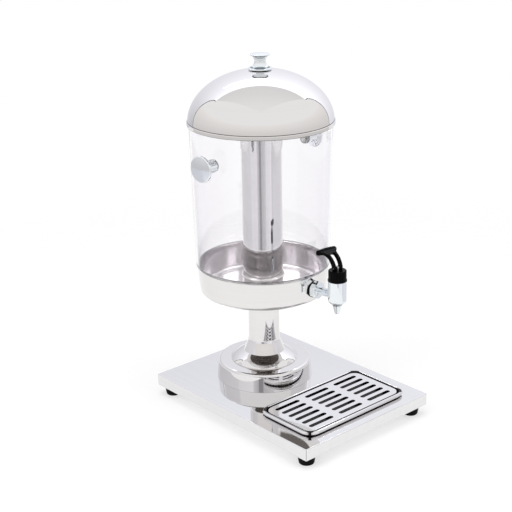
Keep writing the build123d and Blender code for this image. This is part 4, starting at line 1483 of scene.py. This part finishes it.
cutter = slab("cutter_0", [
    *arc((SLOT_REACH, 0), SLOT_RADIUS, -90, 90, 10), *arc((-SLOT_REACH, 0), SLOT_RADIUS, 90, 270, 10)],
    SLOT_CUT)
cutters = [cutter] + [copied(cutter, f"cutter_{number}") for number in range(1, len(slot_places))]
for piece, place in zip(cutters, slot_places):
    put(piece, place, Matrix.Rotation(QUARTER, 3, "X"))
combine(grid, joined(cutters), "DIFFERENCE")
apply_modifier(grid, "BEVEL", width=FINE_EDGE * MM, segments=2, limit_method="ANGLE",
               angle_limit=math.radians(60))
put(grid, TRAY_PLACE)
smooth(grid, GRID_SMOOTH_ANGLE)
dress(grid, mirror_plate, "drip_grid", "polished_steel", "drip_grid")

# %% [markdown]
# ## Finishes for the pieces that stay CAD
# Screws, nuts, washers, seals and the tap's inner works are simple solids that are
# mostly hidden. They could be modelled again too, but nobody would see the difference,
# so they keep their CAD meshes and only get the finish they have in life.

# %% Finishes of the CAD pieces
cad_finishes = (
    (zinc_plate, "plated_steel", ("foot_screws", "foot_nuts", "tie_rod", "tie_nuts", "tie_washers",
                                  "lid_knob_screw", "lid_knob_washer", "side_knob_screws", "tap_stem",
                                  "tap_pin")),
    (chrome, "chrome_plate", ("tap_inner_nut",)),
    (black_rubber, "black_rubber", ("tap_gaskets",)),
    (silicone, "silicone", ("socket_seal", "side_knob_washers", "tap_seat_cup")),
)
for finish, slot_name, names in cad_finishes:
    for name in names:
        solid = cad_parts[name]
        solid.data.materials.clear()
        solid.data.materials.append(finish)
    print(finish.name, "on", len(names), "CAD pieces")

# %% [markdown]
# ## The floor
# A white studio has a pale floor that keeps the soft shadow under the plate. A curved
# backdrop would do, but its bend shows in mirrors. This floor is a sheet that fades into
# the room at its edge, so no horizon shows.

# %% Floor
FLOOR_SIZE = 4
FLOOR_TONE = (0.48, 0.48, 0.48, 1)
FLOOR_GLOW = 0.56
FADE_START = 0.45
FADE_END = 1.3
WHITE = (1, 1, 1)
deselect()
bpy.ops.mesh.primitive_plane_add(size=FLOOR_SIZE)
floor = named("floor")
pale, tree, paper, place = start_finish("floor_paper")
paper.inputs["Base Color"].default_value = FLOOR_TONE
paper.inputs["Roughness"].default_value = 1.0
paper.inputs["Specular IOR Level"].default_value = 0.0
paper.inputs["Emission Color"].default_value = (*WHITE, 1)
paper.inputs["Emission Strength"].default_value = FLOOR_GLOW
reach = node(tree, "VectorMath")
reach.operation = "LENGTH"
wire(tree, place, "Object", reach, 0)
fade = node(tree, "MapRange", From_Min=FADE_START, From_Max=FADE_END, To_Min=1.0, To_Max=0.0)
fade.interpolation_type = "SMOOTHSTEP"
wire(tree, reach, "Value", fade, "Value")
wire(tree, fade, 0, paper, "Alpha")
floor.data.materials.append(pale)
print("floor fades out", FADE_END, "m from its middle")

# %% [markdown]
# ## The room
# A white room all round is what polished steel needs to look like steel. One even white
# would also wash out the shadow on the floor. So the room is fully white only where it
# is seen, mirrored or looked at through the tank, and it gives half of that as light.

# %% Room
ROOM_LIGHT = 0.50
room = bpy.data.worlds.new("white_room")
scene.world = room
room.use_nodes = True
tree = room.node_tree
rays = node(tree, "LightPath")
seen = math_node(tree, "ADD")
wire(tree, rays, "Is Camera Ray", seen, 0)
wire(tree, rays, "Is Glossy Ray", seen, 1)
through = math_node(tree, "ADD")
wire(tree, seen, 0, through, 0)
wire(tree, rays, "Is Transmission Ray", through, 1)
strength = node(tree, "MapRange", To_Min=ROOM_LIGHT, To_Max=1.0)
wire(tree, through, 0, strength, "Value")
wire(tree, strength, 0, tree.nodes["Background"], "Strength")
tree.nodes["Background"].inputs["Color"].default_value = (*WHITE, 1)
print(room.name, "gives light of", ROOM_LIGHT)

# %% [markdown]
# ## Cards for the mirrors
# A mirror shows its surroundings and nothing else, so steel is lit by building them:
# glowing cards that only mirrors see. Lamps could be made visible instead, but a card's
# glow can change along its length, as it does on a lit wall. A card has no surface at
# all for light that hasn't met a mirror yet, so that no card shows through the tank.

# %% Card
def card(name, corners, along, glow, tint=WHITE, in_glass=False):
    """A glowing card that only shows in mirrors, its glow changing in one direction."""
    deselect()
    bpy.ops.mesh.primitive_circle_add(vertices=len(corners), radius=1, fill_type="NGON")
    piece = named(name)
    for vertex, corner in zip(piece.data.vertices, corners):
        vertex.co = corner
    paint, tree, shader, place = start_finish(name)
    shader.inputs["Base Color"].default_value = (0, 0, 0, 1)
    shader.inputs["Specular IOR Level"].default_value = 0.0
    shader.inputs["Emission Color"].default_value = (*tint, 1)
    reach = node(tree, "VectorMath")
    reach.operation = "DOT_PRODUCT"
    reach.inputs[1].default_value = along
    wire(tree, place, "Object", reach, 0)
    reaches = [corner.dot(along) for corner in corners]
    fade = node(tree, "MapRange", From_Min=min(reaches), From_Max=max(reaches), To_Min=glow[0],
                To_Max=glow[1])
    wire(tree, reach, "Value", fade, "Value")
    wire(tree, fade, 0, shader, "Emission Strength")
    after_mirror = math_node(tree, "GREATER_THAN", 0.5)
    wire(tree, node(tree, "LightPath"), "Glossy Depth", after_mirror, 0)
    wire(tree, after_mirror, 0, shader, "Alpha")
    piece.data.materials.append(paint)
    piece.visible_camera = False
    piece.visible_diffuse = False
    piece.visible_shadow = False
    piece.visible_transmission = in_glass


away = Vector((-towards_camera.x, -towards_camera.y, 0)).normalized()


def stand(right, behind, height):
    """A point by how far it is to the right of the stack, behind it and above the floor."""
    return STACK + camera_right * right + away * behind + UP * height


print("away from the camera is", [round(c, 3) for c in away])

# %% [markdown]
# ## Walls and ceiling for the dome
# The dome mirrors half the room. A bright wall behind it gives its white top, a greyer
# ceiling that runs to a point over the camera gives the lens shape on its front, a thin
# dark gap beside the wall draws the line at each side, and a strip of light makes the
# glints on rounded edges. Nine panels close the room on the camera's side: a single
# flat one would show its corners on the dome.

# %% Wall and screen shapes
WALL_TOP = 3.5
WALL_SIDE = ((1.98, 0), (2.0, 1.3), (2.15, 2.1), (2.5, 2.85), (3.05, WALL_TOP))
SCREEN_TINT = (0.97, 0.96, 1.0)


def wall(behind, extra):
    """Corners of a wall behind the stack that spreads towards its top."""
    right = [stand(reach + extra, behind, height) for reach, height in WALL_SIDE]
    left = [stand(-reach - extra, behind, height) for reach, height in reversed(WALL_SIDE)]
    return right + left


def screen(name, start, end, glow, far=0.7, under=0.0, top=0.27, tint=SCREEN_TINT, along=None, in_glass=True):
    """A board on the camera's side, between two angles round the stack."""
    ends = [STACK + about_z(math.radians(turn)) @ -away * far for turn in (start, end)]
    corners = [ends[0] + UP * under, ends[1] + UP * under, ends[1] + UP * top, ends[0] + UP * top]
    card(name, corners, along or (ends[1] - ends[0]).normalized(), glow, tint, in_glass)


print("wall of", 2 * len(WALL_SIDE), "corners")

# %% Wall, ceiling and strip
WALL_BEHIND = 1.56
WALL_GLOW = (0.62, 2.0)
WALL_TINT = (0.93, 0.94, 1.0)
WALL_LEAN = 0.35
GAP_WIDTH = 0.11
GAP_BEHIND = 0.02
GAP_GLOW = (0.03, 0.03)
CEILING_POINT = -2.0
CEILING_GLOW = (0.99, 0.84)
STRIP_HALF = 1.0
STRIP_BEHIND = WALL_BEHIND - 0.1
STRIP_LEVELS = (2.0, 2.1)
STRIP_GLOW = (9.0, 9.0)
wall_head = WALL_SIDE[-1][0]
card("far_wall", wall(WALL_BEHIND, 0.0), UP + camera_right * WALL_LEAN, WALL_GLOW, WALL_TINT)
card("wall_gap", wall(WALL_BEHIND + GAP_BEHIND, GAP_WIDTH), UP, GAP_GLOW)
card("ceiling", [stand(wall_head, WALL_BEHIND, WALL_TOP), stand(-wall_head, WALL_BEHIND, WALL_TOP),
                 stand(0, CEILING_POINT, WALL_TOP)], away, CEILING_GLOW)
low, high = STRIP_LEVELS
card("strip", [stand(STRIP_HALF, STRIP_BEHIND, low), stand(-STRIP_HALF, STRIP_BEHIND, low),
               stand(-STRIP_HALF, STRIP_BEHIND, high), stand(STRIP_HALF, STRIP_BEHIND, high)], UP, STRIP_GLOW)
print("wall, gap, ceiling and strip stand", WALL_BEHIND, "m behind the stack")

# %% Front wall
PANEL_TURN = 28
PANELS_HALF_TURN = 126
PANEL_GLOW = (0.72, 1.0)
PANEL_TINT = (1.0, 0.975, 0.965)
panel_turns = range(-PANELS_HALF_TURN, PANELS_HALF_TURN, PANEL_TURN)
for turn in panel_turns:
    screen(f"front_wall_{turn + PANELS_HALF_TURN}", turn, turn + PANEL_TURN, PANEL_GLOW, far=2.5, under=-0.2,
           top=1.5, tint=PANEL_TINT, along=UP, in_glass=False)
print("front panels:", len(panel_turns))

# %% [markdown]
# ## Low screens for the upright steel
# Tube, column, pan and the plate's edges are upright, and mirror what stands low round
# the dispenser. With white all round they would vanish into the background. Low screens
# between two angles, each a little brighter or darker, draw the bands along them, and
# two near ones darken the sides of the pan.

# %% Low screens
NEAR = {"far": 0.3, "under": 0.13, "top": 0.3}
SCREENS = (
    ("left", -140, -62, (0.80, 0.92), {}),
    ("near_left", -108, -60, (0.84, 0.90), NEAR),
    ("bright_left", -62, -26, (1.0, 1.06), {}),
    ("edge", -26, -14, (0.84, 0.62), {}),
    ("dark", -14, -4, (0.36, 0.36), {}),
    ("middle", -4, 20, (0.62, 0.80), {}),
    ("bright_right", 20, 54, (0.96, 1.08), {}),
    ("right", 54, 140, (0.80, 0.92), {}),
    ("near_right", 60, 108, (0.90, 0.84), NEAR),
)
for side, start, end, glow, shape in SCREENS:
    screen(f"screen_{side}", start, end, glow, **shape)
print("low screens:", len(SCREENS))

# %% [markdown]
# ## Soft boxes
# What isn't a mirror still needs light: rubber, black plastic and the floor. A sun would
# throw hard shadows, so three large soft boxes stand round the object, and mirrors don't
# show them.

# %% Soft boxes
AIM_LEVEL = 0.2


def soft_box(name, place, size, power):
    """A square soft box turned to the dispenser, which mirrors do not show."""
    bpy.ops.object.light_add(type="AREA", location=place)
    lamp = bpy.context.object
    lamp.name = name
    lamp.data.shape = "RECTANGLE"
    lamp.data.size = lamp.data.size_y = size
    lamp.data.energy = power
    lamp.rotation_euler = (place - STACK - UP * AIM_LEVEL).to_track_quat("Z", "Y").to_euler()
    lamp.visible_camera = False
    lamp.visible_glossy = False


soft_box("soft_box_left", stand(-1.73, -1.0, 1.6), 1.4, 14)
soft_box("soft_box_right", stand(1.88, -0.68, 1.6), 1.4, 10)
soft_box("soft_box_top", stand(0, -0.1, 2.4), 1.8, 22)
